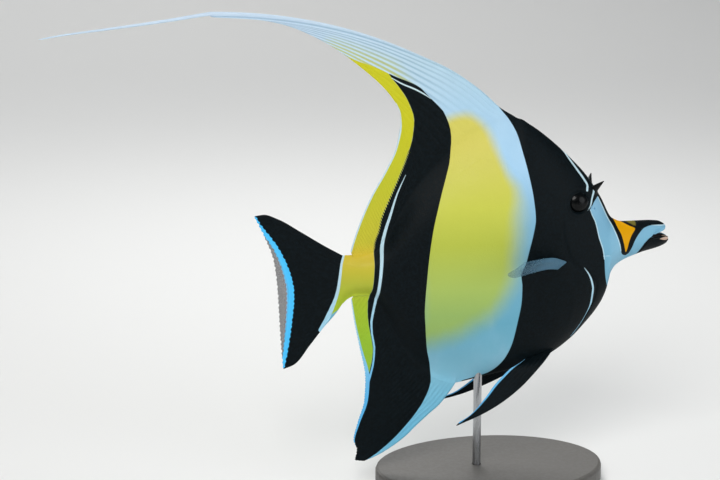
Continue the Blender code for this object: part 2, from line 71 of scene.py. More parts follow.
# Body outlines from the side, (x, z) from the tail's root to the mouth
JAW_TIP_X = 142.5
UPPER_LIP_X = 140.7
CORNER = (132.5, 115.7)
BACK = [
    (-12, 113.4), (-5, 113.3), (2, 115), (8, 121.5), (14, 133), (22, 147), (30, 156.5), (40, 164.5),
    (51, 170.5), (63, 173.9), (70, 172.8), (74, 170.4), (79.2, 166.8), (96.1, 151.8), (103.5, 143.4),
    (108.6, 135.6), (114.8, 125), (119.7, 123.3), (130.8, 123.3), (136.5, 122.9), (140.7, 120.9),
    (JAW_TIP_X, 120)]
BELLY = [
    (-12, 90.6), (-9, 93.1), (-6, 94.1), (-1, 93.9), (4, 90.2), (9, 82), (13.5, 73), (18.5, 65),
    (24.5, 58), (33, 52), (41.5, 49.8), (46, 50.5), (57.9, 52.8), (76, 56.4), (86.7, 61.4), (96.2, 68.2),
    (103.3, 75.6), (108.5, 82.1), (111.7, 88.2), (113.5, 97), (117.5, 102.9), (128, 107.6),
    (139.7, 110.9), (JAW_TIP_X, 112.6)]
GIRTH = [
    (-12, 2.0), (-6, 3.2), (4, 5.2), (20, 8.5), (40, 11.5), (60, 13), (85, 13), (95, 12.1), (104, 10.3),
    (110, 8.8), (116, 7.2), (125, 5.2), (133, 4.3), (138, 3.6), (141.2, 2.4), (JAW_TIP_X, 1.3)]
GILL_EDGE = [
    (-1, 94), (-0.86, 100.5), (-0.65, 104.5), (-0.42, 105), (-0.22, 101), (-0.08, 94), (0.05, 89.5),
    (0.3, 87), (0.6, 87), (1, 88.5)]
UPPER_JAW_EDGE = [CORNER, (135, 117.5), (139.5, 119), (UPPER_LIP_X, 119.5)]
LOWER_JAW_EDGE = [
    CORNER, (135.3, 116.1), (137.5, 116.2), (139.5, 116.2), (141.5, 115.5), (JAW_TIP_X, 114.3)]

# Columns of the body's skin: count, then x along the back from and to, and along the belly
TAIL_SPAN = (14, -12, -7.5, -12, -7)
SOFT_SPAN = (200, -7.5, 22.7, -7, 14)
SAIL_SPAN = (200, 22.7, 68.8, 14, 41.5)
CHEST_SPAN = (70, 68.8, 88, 41.5, 92)
HEAD_SPAN = (90, 88, 116, 92, 116)
SNOUT_SPAN = (55, 116, CORNER[0], 116, CORNER[0])
JAW_COLUMNS = 40
HALF_LEVELS = 120
MOUTH_COLUMNS = 25

# Fin outlines, (x, z)
FIN_ROWS = 110
SPINE_COLUMNS = 8
SPINE_SHARE = 0.016
SPLIT_TIP = (14.6, 172)
SAIL_SWELLS = [(0.07, 0.05, -1.6), (0.25, 0.08, 0.8)]
SAIL_BEND = [(9, 223.1), (18.5, 200), (23.5, 178), (18.65, 160)]
SAIL_TIP = [
    (-69.3, 224.1), (-69.5, 222.4), (-52.1, 220.7), (-39.1, 218.2), (-21.5, 210.8), (-3.8, 198.5),
    (10.1, 185.2), (13.2, 180.4), (14.5, 176.3), SPLIT_TIP]
THREAD = [(-69.8, 223.25), (-90.8, 220.3), (-112.1, 217.8), (-133.2, 215.4), (-142.4, 213.9)]
SOFT_TIP = [
    SPLIT_TIP, (12.6, 161.7), (7.6, 150.9), (1.7, 140.6), (-3.3, 129.4), (-7, 118.9), (-8.1, 114.9)]
ANAL_ROWS = 90
ANAL_FRONT = [
    (38.3, 45.2), (34.3, 40.1), (28, 34.6), (22, 29.2), (18.3, 25.6), (12, 20.9), (4, 16.4), (-1.9, 14.2)]
ANAL_TIP = [
    (-1.9, 14.2), (-6.2, 15.2), (-5.3, 20), (-6.8, 25), (-5, 33), (-1.8, 44), (-1.3, 54), (-4.2, 70.7),
    (-6.4, 81.8), (-7.9, 92.4)]
CAUDAL_ROWS = 80
CAUDAL_TOP = [(-19.8, 118), (-31.1, 125.3), (-41, 131.4), (-47.4, 133.7), (-51.6, 133.2)]
CAUDAL_BOTTOM = [(-14.8, 86.6), (-21, 79.5), (-26.9, 72), (-34.4, 63.1), (-39.3, 61.3)]
CAUDAL_TIP = [
    (-51.6, 133.2), (-46.6, 122.4), (-43, 112), (-41.5, 99), (-40.9, 87), (-40.5, 78), (-39.9, 69),
    (-39.3, 61.3)]

# Rays of each fin, where they fork, and how far they reach past the membrane
SAIL_RAYS = 14
SOFT_FIN = (38, 0.55, 0.35)
ANAL_FIN = (33, 0.55, 0.45)
CAUDAL_FIN = (17, 0.4, 0.5)
# Half thickness of the membrane, of a ray's root and tip, and of the sail's front spine
MEMBRANE = 0.24
ROOT_SWELL = 0.3
RAY_ROOT = 0.44
RAY_TIP = 0.32
SPINE_ROOT = 0.62
SPINE_THINS = 0.16
THREAD_HALF = 0.46
THREAD_WIDTH = 0.8
THREAD_ROWS = 90
THREAD_END = (0.9, 0.75, 0.5, 0.1)
# The last few steps of a fin, which round its edge
EDGE = 0.985
EDGE_STEPS = (0.99, 0.994, 0.997, 0.999, 1.0)
# How full the body's section is, plain and under a fin
SECTION = 0.72
FIN_SECTION = 1.5
# x over which the section turns from plain to finned, along the back and along the belly
BACK_TURN = (76, 60)
BELLY_TURN = (56, 36)
# The jaws' ends: length of the rounded nose and of the blunt tip, the lips' roll and the groove beside it
NOSE_LENGTH = 3.2
BLUNT_LENGTH = 0.8
LIP_ROLL = 0.16
LIP_GROOVE = 0.1


def stack(*parts):
    """Coordinates as one array, with single values spread over the rest."""
    return np.stack(np.broadcast_arrays(*parts), axis=-1)


def through(knots, x):
    """Value at x on a smooth curve through the knots that never overshoots them."""
    places, values = np.array(knots, float).T
    steps = np.diff(places)
    rises = np.diff(values) / steps
    slopes = np.concatenate(([rises[0]], np.zeros(len(rises) - 1), [rises[-1]]))
    for k in range(1, len(rises)):
        if rises[k - 1] * rises[k] > 0:
            weight_a = 2 * steps[k] + steps[k - 1]
            weight_b = steps[k] + 2 * steps[k - 1]
            slopes[k] = (weight_a + weight_b) / (weight_a / rises[k - 1] + weight_b / rises[k])
    x = np.asarray(x, float)
    k = np.clip(np.searchsorted(places, x) - 1, 0, len(steps) - 1)
    s = (x - places[k]) / steps[k]
    start = values[k] * (1 + 2 * s) * (1 - s) ** 2 + slopes[k] * steps[k] * s * (1 - s) ** 2
    end = values[k + 1] * s ** 2 * (3 - 2 * s) + slopes[k + 1] * steps[k] * s ** 2 * (s - 1)
    return start + end


def travelled(points):
    """Share of a line's length at each of its points."""
    lengths = np.linalg.norm(np.diff(np.asarray(points, float), axis=0), axis=1)
    total = np.concatenate(([0], np.cumsum(lengths)))
    return total / total[-1]


def along(points, shares):
    """Points at the given shares of a smooth line's length."""
    points = np.array(points, float)
    places = travelled(points)
    return stack(*(through(list(zip(places, column)), shares) for column in points.T))


def spread(base, tip, front, rear, shares, steps):
    """Grid of points inside four edge lines, as rows from base to tip."""
    u = shares[None, :, None]
    w = steps[:, None, None]
    across = (1 - u) * front[:, None] + u * rear[:, None]
    outward = (1 - w) * base[None] + w * tip[None]
    corners = (1 - w) * ((1 - u) * base[0] + u * base[-1]) + w * ((1 - u) * tip[0] + u * tip[-1])
    return across + outward - corners


def ease(low, high, x):
    """0 below low, 1 above high, and smooth between."""
    s = np.clip((x - low) / (high - low), 0, 1)
    return s * s * (3 - 2 * s)


def bump(x, centre, width):
    """A bell of height 1."""
    return np.exp(-((x - centre) / width) ** 2)


def back(x):
    return through(BACK, x)


def belly(x):
    return through(BELLY, x)


def middle(x):
    """Height of the body's middle line, which ends at the corner of the mouth."""
    return (back(x) + belly(x)) / 2 - 0.42 * ease(118, CORNER[0], x)


def half_levels():
    """Heights from 0 to 1, closer together near the edge."""
    t = np.linspace(0, 1, HALF_LEVELS)
    return 0.25 * t + 0.75 * np.sin(t * math.pi / 2)


def body_columns():
    """x of every body column along the back and the belly, up to the corner of the mouth."""
    tops, lows = [np.array([TAIL_SPAN[1]])], [np.array([TAIL_SPAN[3]])]
    for span in (TAIL_SPAN, SOFT_SPAN, SAIL_SPAN, CHEST_SPAN, HEAD_SPAN, SNOUT_SPAN):
        count, top_start, top_end, low_start, low_end = span
        top = np.linspace(top_start, top_end, count + 1)
        if span is SAIL_SPAN:
            top = top_end - (top_end - top_start) * sail_shares()[::-1]
        tops.append(top[1:])
        lows.append(np.linspace(low_start, low_end, count + 1)[1:])
    return np.concatenate(tops), np.concatenate(lows)


def sail_shares():
    """Shares across the sail from its front spine, which has columns of its own."""
    spine = np.linspace(0, SPINE_SHARE, SPINE_COLUMNS + 1)
    rest = np.linspace(SPINE_SHARE, 1, SAIL_SPAN[0] - SPINE_COLUMNS + 1)
    return np.concatenate((spine, rest[1:]))


SAIL_START = TAIL_SPAN[0] + SOFT_SPAN[0]
SAIL_END = SAIL_START + SAIL_SPAN[0]
SOFT_COLUMNS = slice(TAIL_SPAN[0], SAIL_START + 1)
SAIL_COLUMNS = slice(SAIL_START, SAIL_END + 1)
ANAL_COLUMNS = slice(TAIL_SPAN[0], SAIL_END + 1)


def fin_steps(rows):
    """Steps from a fin's base to its edge, with a few close together to round the edge."""
    return np.concatenate((np.linspace(0, EDGE, rows - len(EDGE_STEPS)), EDGE_STEPS))


def rounded(steps):
    """1 over a fin and 0 at its edge, round between."""
    s = np.clip((steps - EDGE) / (1 - EDGE), 0, 1)
    return np.sqrt(1 - s * s)[:, None]


def ray_wave(shares, steps, rays, fork):
    """Height from 0 to 1 of evenly set rays, each forked in two beyond a step."""
    u, w = shares[None, :] * rays, steps[:, None]
    single = (0.5 - 0.5 * np.cos(2 * math.pi * u)) ** 1.5
    double = (0.5 - 0.5 * np.cos(4 * math.pi * u)) ** 1.5
    forked = ease(fork - 0.1, fork + 0.25, w) * (0.85 - 0.3 * bump(u % 1, 0.5, 0.08))
    return single * (1 - forked) + double * forked


def fin_half(wave, steps):
    """Half thickness of a fin whose rays stand out of its membrane."""
    w = steps[:, None]
    ray = RAY_ROOT + (RAY_TIP - RAY_ROOT) * w ** 0.7
    web = MEMBRANE + ROOT_SWELL * np.clip(1 - w / 0.15, 0, 1) ** 2
    return (web + np.maximum(ray - web, 0.05) * wave) * rounded(steps)


def side_taper(shares, width):
    """1 across a fin and 0 at its front and rear edges, round between."""
    near = np.minimum(shares, 1 - shares) / width
    return np.sqrt(1 - (1 - np.clip(near, 0, 1)) ** 2)[None, :]


def root_line(line, x):
    """A fin's root along the back or the belly, from its front end."""
    return stack(x[::-1], line(x[::-1]))


def straight(root, end, steps):
    """A straight edge of a fin from its root to its end."""
    return root + (np.array(end) - root) * steps[:, None]


def make_sail(top_x):
    """Grid, half thickness and ray height of the sail, from its front spine to its last ray."""
    base = root_line(back, top_x[SAIL_COLUMNS])
    shares, steps = sail_shares(), fin_steps(FIN_ROWS)
    w = steps[:, None, None]
    bend, tip = along(SAIL_BEND, shares), along(SAIL_TIP, shares)
    grid = (1 - w) ** 2 * base + 2 * w * (1 - w) * bend + w ** 2 * tip
    rise = sum(height * bump(steps, centre, width) for centre, width, height in SAIL_SWELLS)
    rise[0] = 0
    grid[..., 1] += np.outer(rise, (1 - shares) ** 2)
    grid[:, -1] = straight(base[-1], SPLIT_TIP, steps)

    w = steps[:, None]
    groove = np.abs((shares[None, :] * SAIL_RAYS) % 1 - 0.5)
    wave = 1 - bump(groove, 0, 0.2) * np.ones_like(w)
    wave[:, -1] = 0
    half = fin_half(wave, steps)
    place = np.clip(1 - 2 * shares / SPINE_SHARE, -1, 1)[None, :]
    spine = (SPINE_ROOT - SPINE_THINS * w) * np.sqrt(1 - place ** 2)
    half = np.where(place > 0, spine, np.maximum(spine, half))
    return grid, half, wave


def make_thread(sail, sail_half):
    """Grid and half thickness of the thread that runs on from the sail's front spine."""
    shares = np.linspace(0, 1, THREAD_ROWS)
    line = along(THREAD, shares)
    run = np.gradient(line, axis=0)
    run /= np.linalg.norm(run, axis=1)[:, None]
    across = stack(run[:, 1], -run[:, 0])
    count = SPINE_COLUMNS + 1
    place = 1 - 2 * np.arange(count) / SPINE_COLUMNS
    taper = 1 - 0.62 * shares
    taper[-len(THREAD_END):] *= THREAD_END
    grid = line[:, None] + across[:, None] * (THREAD_WIDTH * taper)[:, None, None] * place[None, :, None]
    half = (THREAD_HALF * taper)[:, None] * np.sqrt(1 - place ** 2)[None, :]
    start, start_half = sail[-1, :count], sail_half[-1, :count]
    blend = ease(0, 0.05, shares)[:, None]
    carried = start[None] + (line - line[0])[:, None]
    grid = carried * (1 - blend)[..., None] + grid * blend[..., None]
    half = start_half[None] * (1 - blend) + half * blend
    grid[0], half[0] = start, start_half
    return grid, half


def rayed_fin(base, tip, front, rear, steps, fin):
    """Grid, half thickness and ray height of a fin inside its four edge lines."""
    rays, fork, reach = fin
    shares = travelled(base)
    wave = ray_wave(shares, steps, rays, fork)
    grid = spread(base, tip, front, rear, shares, steps)
    return fringe(grid, wave, steps, reach), fin_half(wave, steps), wave


def make_soft_dorsal(top_x):
    """Grid, half thickness and ray height of the strip behind the sail."""
    base, steps = root_line(back, top_x[SOFT_COLUMNS]), fin_steps(FIN_ROWS)
    shares = travelled(base)
    tip = along(SOFT_TIP, shares)
    front, rear = straight(base[0], SPLIT_TIP, steps), straight(base[-1], tip[-1], steps)
    grid, half, wave = rayed_fin(base, tip, front, rear, steps, SOFT_FIN)
    half *= np.where(shares > 0.5, side_taper(shares, 0.02), 1)
    return grid, half, wave


def fringe(grid, wave, steps, reach):
    """Let ray tips reach a little past the membrane, except at the fin's two ends."""
    outward = grid[-1] - grid[-8]
    outward /= np.linalg.norm(outward, axis=-1)[:, None]
    count = grid.shape[1]
    ends = np.minimum(np.arange(count), np.arange(count)[::-1]) / 8
    push = (wave - 0.5) * np.clip(ends, 0, 1)[None, :] * steps[:, None] ** 10 * reach
    return grid + push[..., None] * outward[None]


def make_anal(low_x):
    """Grid, half thickness and ray height of the fin under the tail."""
    base, steps = root_line(belly, low_x[ANAL_COLUMNS]), fin_steps(ANAL_ROWS)
    shares = travelled(base)
    tip = along(ANAL_TIP, shares)
    front, rear = along([base[0]] + ANAL_FRONT, steps), straight(base[-1], tip[-1], steps)
    grid, half, wave = rayed_fin(base, tip, front, rear, steps, ANAL_FIN)
    return grid, half * side_taper(shares, 0.015), wave


def make_caudal(base, base_half):
    """Grid, half thickness and ray height of the tail fin, from the body's tail end."""
    shares, steps = travelled(base), fin_steps(CAUDAL_ROWS)
    top = along([base[0]] + CAUDAL_TOP, steps)
    bottom = along([base[-1]] + CAUDAL_BOTTOM, steps)
    grid, half, wave = rayed_fin(base, along(CAUDAL_TIP, shares), top, bottom, steps, CAUDAL_FIN)
    fade = (np.clip(1 - steps / 0.32, 0, 1) ** 2)[:, None]
    half = half * side_taper(shares, 0.02) * (1 - fade) + base_half[None] * fade
    half[0] = base_half
    return grid, half, wave


def body_grid(top_x, low_x):
    """Grid of (x, z) and signed heights for the body up to the corner of the mouth."""
    q = half_levels()
    height = np.concatenate((-q[:0:-1], q))
    x = (top_x + low_x)[:, None] / 2 + (top_x - low_x)[:, None] / 2 * height[None, :]
    mid = middle(x)
    reach = np.where(height[None, :] > 0, back(x) - mid, mid - belly(x))
    return stack(x, mid + reach * height), np.broadcast_to(height, x.shape)


def section(x, height, finned=0.0):
    """Half width of the body at a height from -1 to 1, flatter towards an edge with a fin."""
    power = SECTION + (FIN_SECTION - SECTION) * finned * ease(0.4, 1.0, np.abs(height))
    return through(GIRTH, x) * np.clip(1 - height ** 2, 0, 1) ** power


def body_half(grid, height, top_edge, low_edge):
    """Half width of the body, meeting the fins' roots along the back and the belly."""
    x = grid[..., 0]
    finned = np.where(height > 0, ease(*BACK_TURN, x), ease(*BELLY_TURN, x))
    girth = section(x, height, finned)
    edge = np.where(height > 0, top_edge[:, None], low_edge[:, None])
    depth = (1 - np.abs(height)) * (back(x) - belly(x)) / 2
    half = np.hypot(edge * np.exp(-depth / 4), girth)
    return half + relief(grid, height) * ease(0, 1.2, depth)


def distance(points, line):
    """Distance of each point from an open line of segments, and the place along it, 0 to 1."""
    best = np.full(len(points), 1e9)
    place = np.zeros(len(points))
    shares = travelled(line)
    for k in range(len(line) - 1):
        start, run = line[k], line[k + 1] - line[k]
        offset = points - start
        t = np.clip(offset @ run / (run @ run), 0, 1)
        gap = np.linalg.norm(offset - t[:, None] * run, axis=1)
        near = gap < best
        best = np.where(near, gap, best)
        place = np.where(near, shares[k] + t * (shares[k + 1] - shares[k]), place)
    return best, place


def smooth(points, count=60):
    """A smooth dense line through a few points."""
    return along(points, np.linspace(0, 1, count))


def inside(points, outline):
    """Distance from a closed outline, above 0 inside it."""
    closed = np.concatenate((outline, outline[:1]))
    gap, _ = distance(points, closed)
    crossings = np.zeros(len(points), bool)
    for (x0, z0), (x1, z1) in zip(closed[:-1], closed[1:]):
        if z0 == z1:
            continue
        between = (points[:, 1] >= z0) != (points[:, 1] >= z1)
        crossings ^= between & (points[:, 0] < x0 + (points[:, 1] - z0) * (x1 - x0) / (z1 - z0))
    return np.where(crossings, gap, -gap)


def stroke(points, path, widths):
    """Distance from a painted line's edge, above 0 inside it; widths are spread along it."""
    gap, place = distance(points, smooth(path, 40))
    return np.interp(place, np.linspace(0, 1, len(widths)), widths) / 2 - gap


# Places on the head and body, (x, z)
EYE = (95.5, 134.5)
HORN_ROOT = (104.2, 139.9)
PECTORAL_ROOT = (89, 106.6)
LATERAL_LINE = [
    (88, 136), (80, 141.5), (70.7, 146.7), (65, 150.6), (60.6, 153.3), (56.2, 155.2), (51.2, 156.2),
    (46.9, 154.1), (40, 149), (33, 142), (22, 128), (12, 115), (0, 107), (-12, 104)]
# Relief: how far forms stand out or in
GILL_RISE = 0.42
GILL_GROOVE = 0.34
GILL_FOLD = 0.16
PORE_RISE = 0.17
PORES = 70
SOCKET_DEPTH = 2.4
HORN_RIDGE = 2.2
PECTORAL_RISE = 0.55
NOSTRIL_DEPTH = 0.9
NOSTRIL_RIM = 0.16
# Rims round the eye by radius, width and rise, nostrils by x, z and size, creases by line, depth and width
EYE_RIMS = [(4.9, 0.8, 0.45), (6.9, 0.5, 0.12)]
NOSTRILS = [(102.2, 132.2, 0.75), (104.0, 131.3, 0.6)]
CREASES = [([(88.6, 108.6), (95, 107.6), (101.2, 105.6)], 0.2, 0.5),
           ([(107.8, 109.6), (112.6, 109)], 0.14, 0.35),
           ([(127.2, 107.2), (128.3, 110.2), (130.3, 113.6), CORNER], 0.3, 0.45)]


def gill_relief(behind, level):
    """The gill cover, the groove at its rear edge and the fold in front of it."""
    strength = ease(-0.97, -0.8, level) * ease(0.5, 0.15, level)
    plate = (0.5 - 0.5 * np.tanh((behind + 0.2) / 0.22)) * np.exp(np.minimum(behind, 0) / 12)
    groove = bump(behind, 0.55, 0.7) * (behind > -3)
    fold = ease(-0.9, -0.6, level) * ease(0.2, -0.1, level) * bump(behind + 13 + 4 * level, 0, 1.6)
    return strength * (GILL_RISE * plate - GILL_GROOVE * groove) + GILL_FOLD * fold


def line_relief(points, behind):
    """The lateral line's pores, and the creases of the face."""
    gap, place = distance(points, smooth(LATERAL_LINE, 80))
    pores = 0.75 + 0.25 * np.cos(place * 2 * math.pi * PORES)
    out = PORE_RISE * bump(gap, 0, 0.45) * pores * (behind < 0) * ease(30, 50, points[:, 0])
    for line, depth, width in CREASES:
        gap, _ = distance(points, smooth(line, 20))
        out += depth * (0.35 * bump(gap, 2.2 * width, width) - bump(gap, 0, width))
    return out


def away(points, place, stretch=1.0):
    """Distance of each point from a place, with x squeezed by a stretch."""
    return np.hypot((points[:, 0] - place[0]) / stretch, points[:, 1] - place[1])


def head_relief(points):
    """The eye's socket and rims, the nostrils, and the swellings under a horn and a fin."""
    radius = away(points, EYE)
    out = -SOCKET_DEPTH * ease(4.5, 3.5, radius)
    for rim, width, rise in EYE_RIMS:
        out += rise * bump(radius, rim, width)
    for *place, size in NOSTRILS:
        radius = away(points, place)
        out -= NOSTRIL_DEPTH * ease(size, 0.25 * size, radius)
        out += NOSTRIL_RIM * bump(radius, 1.35 * size, 0.4 * size)
    out += HORN_RIDGE * bump(away(points, HORN_ROOT), 0, 3.4)
    return out + PECTORAL_RISE * bump(away(points, PECTORAL_ROOT, 1.5), 0, 2.2)


def relief(grid, height):
    """How far the forms of the head and body stand out or in at each point."""
    points, level = grid.reshape(-1, 2), height.reshape(-1)
    behind = points[:, 0] - through(GILL_EDGE, level)
    out = gill_relief(behind, level) + line_relief(points, behind) + head_relief(points)
    return out.reshape(height.shape)


def jaw_grid(edge, outline, tip_x):
    """Grid and half width of a jaw beyond the corner of the mouth, from its lip to its outline."""
    t = np.linspace(0, 1, JAW_COLUMNS + 1)
    x = CORNER[0] + (tip_x - CORNER[0]) * (0.35 * t + 0.65 * np.sin(t * math.pi / 2))
    x[0], x[-1] = CORNER[0], tip_x
    q = half_levels()
    lip_z, out_z = through(edge, x), outline(x)
    blunt = np.sqrt(np.clip((tip_x - x) / BLUNT_LENGTH, 0, 1))
    centre = (lip_z + out_z) / 2
    lip_z = centre + (lip_z - centre) * blunt
    out_z = centre + (out_z - centre) * blunt
    z = lip_z[:, None] + (out_z - lip_z)[:, None] * q[None, :]
    start = tip_x - NOSE_LENGTH
    nose = np.sqrt(1 - np.clip((x - start) / (tip_x - start), 0, 1) ** 2)
    half = (through(GIRTH, x) * nose)[:, None] * (1 - q ** 2)[None, :] ** SECTION
    from_lip = np.abs(z - lip_z[:, None])
    near = ease(CORNER[0], CORNER[0] + 2.5, x)[:, None] * nose[:, None]
    lip = LIP_ROLL * bump(from_lip, 0.45, 0.45) - LIP_GROOVE * bump(from_lip, 1.5, 0.45)
    half = half * (1 + near * lip)
    return stack(x[:, None], z), half


def mouth_inside(grid, half, depth):
    """Points between the lips' edges, arched into the jaw by a share of its thickness."""
    lip, wide = grid[:, 0], half[:, 0]
    place = np.linspace(-1, 1, MOUTH_COLUMNS)
    thick = grid[:, -1, 1] - lip[:, 1]
    start = ease(0, 0.35, np.linspace(0, 1, len(lip)))
    arch = (thick * start * depth)[:, None] * (1 - np.abs(place) ** 3)[None, :]
    roll = -0.12 * np.sign(thick * start)[:, None] * bump(np.abs(place), 0.86, 0.1)[None, :]
    arch += roll * (1 - np.abs(place))[None, :] * 4
    return stack(lip[:, :1], wide[:, None] * place[None, :], lip[:, 1:] + arch)


# The tail fin's number and its scalloped band, how near points are welded, and values of no marking
CAUDAL_WEB = 4
SCALLOP = 0.5
WELD = 0.0002
UNMARKED = dict.fromkeys(("black", "strip", "orange", "pink", "clear", "line", "olive", "shade"), -9)
UNMARKED["yellow"] = -20


def sheets(grid, half, **values):
    """A right and a left sheet at a half width from the middle plane, with their values."""
    marks = painted(grid.reshape(-1, 2))
    marks = {word: value.reshape(half.shape) for word, value in marks.items()}
    if values.get("web") == CAUDAL_WEB:
        marks["line"] += SCALLOP * (values["ray"] - 0.5) * (marks["clear"] > -8)
    return [(stack(grid[..., 0], side * half, grid[..., 1]), marks | values) for side in (-1, 1)]


def grid_faces(patches):
    """Four-cornered faces of every patch, numbered on from patch to patch."""
    faces, count = [], 0
    for points, _ in patches:
        index = count + np.arange(points[..., 0].size).reshape(points.shape[:2])
        corners = stack(index[:-1, :-1], index[1:, :-1], index[1:, 1:], index[:-1, 1:])
        faces.append(corners.reshape(-1, 4))
        count += index.size
    return np.concatenate(faces)


def weld(patches):
    """Points, faces and values of grids of points, with coinciding points made one."""
    points = np.concatenate([grid.reshape(-1, 3) for grid, _ in patches])
    x, y, z = np.round((points + (150, 45, 0)) / WELD).astype(np.int64).T
    keys = ((x << 21) + z << 19) + y
    _, first, inverse = np.unique(keys, return_index=True, return_inverse=True)
    values = {}
    for word in sorted(set().union(*(marks for _, marks in patches))):
        parts = [np.broadcast_to(marks.get(word, 0.0), grid.shape[:2]).reshape(-1)
                 for grid, marks in patches]
        values[word] = np.concatenate(parts)[first]
    return points[first], inverse.reshape(-1)[grid_faces(patches)], values


def clean_faces(faces):
    """Faces as lists with repeated corners dropped, and flat ones left out."""
    done = []
    for corners in faces.tolist():
        kept = [c for k, c in enumerate(corners) if c != corners[k - 1]]
        if len(set(kept)) == len(kept) and len(kept) > 2:
            done.append(kept)
    return done


def build_skin():
    """Gather body, fins, thread, jaws and paired fins in one closed skin."""
    top_x, low_x = body_columns()
    fins = [make_sail(top_x), make_soft_dorsal(top_x), make_anal(low_x)]
    (sail, sail_half, _), (soft, soft_half, _), (anal, anal_half, _) = fins
    soft_half[:, 0] = sail_half[:, -1]
    top_edge, low_edge = np.zeros(len(top_x)), np.zeros(len(low_x))
    grid, height = body_grid(top_x, low_x)
    for fin, width, columns, edge, level in ((soft, soft_half, SOFT_COLUMNS, top_edge, -1),
                                             (sail, sail_half, SAIL_COLUMNS, top_edge, -1),
                                             (anal, anal_half, ANAL_COLUMNS, low_edge, 0)):
        edge[columns] = width[0, ::-1]
        fin[0] = grid[columns, level][::-1]
    half = body_half(grid, height, top_edge, low_edge)
    half[:, 0], half[:, -1] = low_edge, top_edge
    soft[:, 0] = sail[:, -1]
    fins.append(make_caudal(grid[0, ::-1], half[0, ::-1]))

    patches = sheets(grid, half)
    for web, (fin, width, wave) in enumerate(fins, 1):
        rows, columns = wave.shape
        patches += sheets(fin, width, ray=wave, web=web, step=fin_steps(rows)[:, None],
                          share=np.linspace(0, 1, columns)[None, :])
    thread, thread_half = make_thread(sail, sail_half)
    patches += sheets(thread, thread_half, ray=1, web=1, step=1, share=0)
    return weld(patches + jaws(grid, half) + paired_fins())


def jaws(grid, half):
    """Both jaws beyond the corner of the mouth, and the inside of the mouth."""
    patches = []
    last = HALF_LEVELS - 1
    for edge, outline, tip_x, levels, depth in (
            (UPPER_JAW_EDGE, back, UPPER_LIP_X, slice(last, None), 0.45),
            (LOWER_JAW_EDGE, belly, JAW_TIP_X, slice(last, None, -1), 0.4)):
        jaw, jaw_half = jaw_grid(edge, outline, tip_x)
        jaw[0], jaw_half[0] = grid[-1, levels], half[-1, levels]
        jaw_half[-1] = 0
        patches += sheets(jaw, jaw_half)
        patches.append((mouth_inside(jaw, jaw_half, depth), UNMARKED | {"kind": 3}))
    return patches


# Paired fins of the right side, (x, y, z)
PECTORAL_ENDS = [(91, 108), (86.5, 105)]
PECTORAL_FRONT = [(79.2, -20, 112.8), (64.7, -30, 114.2)]
PECTORAL_REAR = [(78, -17, 106.6), (62.6, -22, 104.9)]
PECTORAL_TIP = [
    (64.7, -30, 114.2), (59.5, -33, 111.8), (57, -30, 109), (59, -25.5, 106.4), (62.6, -22, 104.9)]
PELVIC_ENDS = [(89, 65.4), (75, 59.7)]
PELVIC_FRONT = [
    (79.5, -8.3, 57.8), (69.3, -11, 48.9), (59, -14, 42.9), (49.1, -16, 38.7), (37.3, -18, 35.2)]
PELVIC_REAR = [
    (66.4, -7.8, 58.2), (60.5, -9.5, 54), (57.5, -10.5, 51.4), (52.2, -13, 45.9), (44.4, -16, 39.2),
    (38.6, -18.1, 36.5)]
PECTORAL = (PECTORAL_ENDS, PECTORAL_FRONT, PECTORAL_REAR, PECTORAL_TIP, 15, 1)
PELVIC = (PELVIC_ENDS, PELVIC_FRONT, PELVIC_REAR, [PELVIC_FRONT[-1], PELVIC_REAR[-1]], 6, 2)
PAIRED_ROWS = 80
ROOT_SINK = 1.2
PAIRED_SWELL = 0.5
PELVIC_RIM = 0.91


def skin_depth(x, z):
    """Half width of the body at a place, without fins."""
    mid = middle(x)
    reach = np.where(z > mid, back(x) - mid, mid - belly(x))
    return section(x, (z - mid) / reach)


def paired_fin(ends, front, rear, tip, rays, kind):
    """One paired fin's closed shell, as its two faces, its root in the body, and its values."""
    shares, steps = np.linspace(0, 1, 10 * rays + 1), fin_steps(PAIRED_ROWS)
    roots = [(x, ROOT_SINK - skin_depth(x, z), z) for x, z in ends]
    base = along([roots[0], np.mean(roots, axis=0), roots[1]], shares)
    sheet = spread(base, along(tip, shares), along([roots[0]] + front, steps),
                   along([roots[1]] + rear, steps), shares, steps)
    normal = np.cross(np.gradient(sheet, axis=0), np.gradient(sheet, axis=1))
    normal /= np.linalg.norm(normal, axis=-1)[..., None]
    wave = ray_wave(shares, steps, rays, 0.5)
    thick = fin_half(wave, steps) * side_taper(shares, 0.04)
    thick += PAIRED_SWELL * np.clip(1 - steps / 0.14, 0, 1)[:, None] * side_taper(shares, 0.3)
    thick[0] = 0
    values = UNMARKED | {"ray": wave, "kind": kind, "share": shares[None, :], "step": steps[:, None]}
    if kind == 2:
        trailing = (shares[None, :] - PELVIC_RIM) * (7 - 5 * steps[:, None])
        values |= {"black": 9, "line": trailing}
    return [sheet + face * normal * thick[..., None] for face in (1, -1)], values


def paired_fins():
    """The pectoral and pelvic fins of both sides, face by face, each with its values."""
    patches = []
    for fin in (PECTORAL, PELVIC):
        faces, values = paired_fin(*fin)
        patches += [(points * (1, side, 1), values) for side in (1, -1) for points in faces]
    return patches


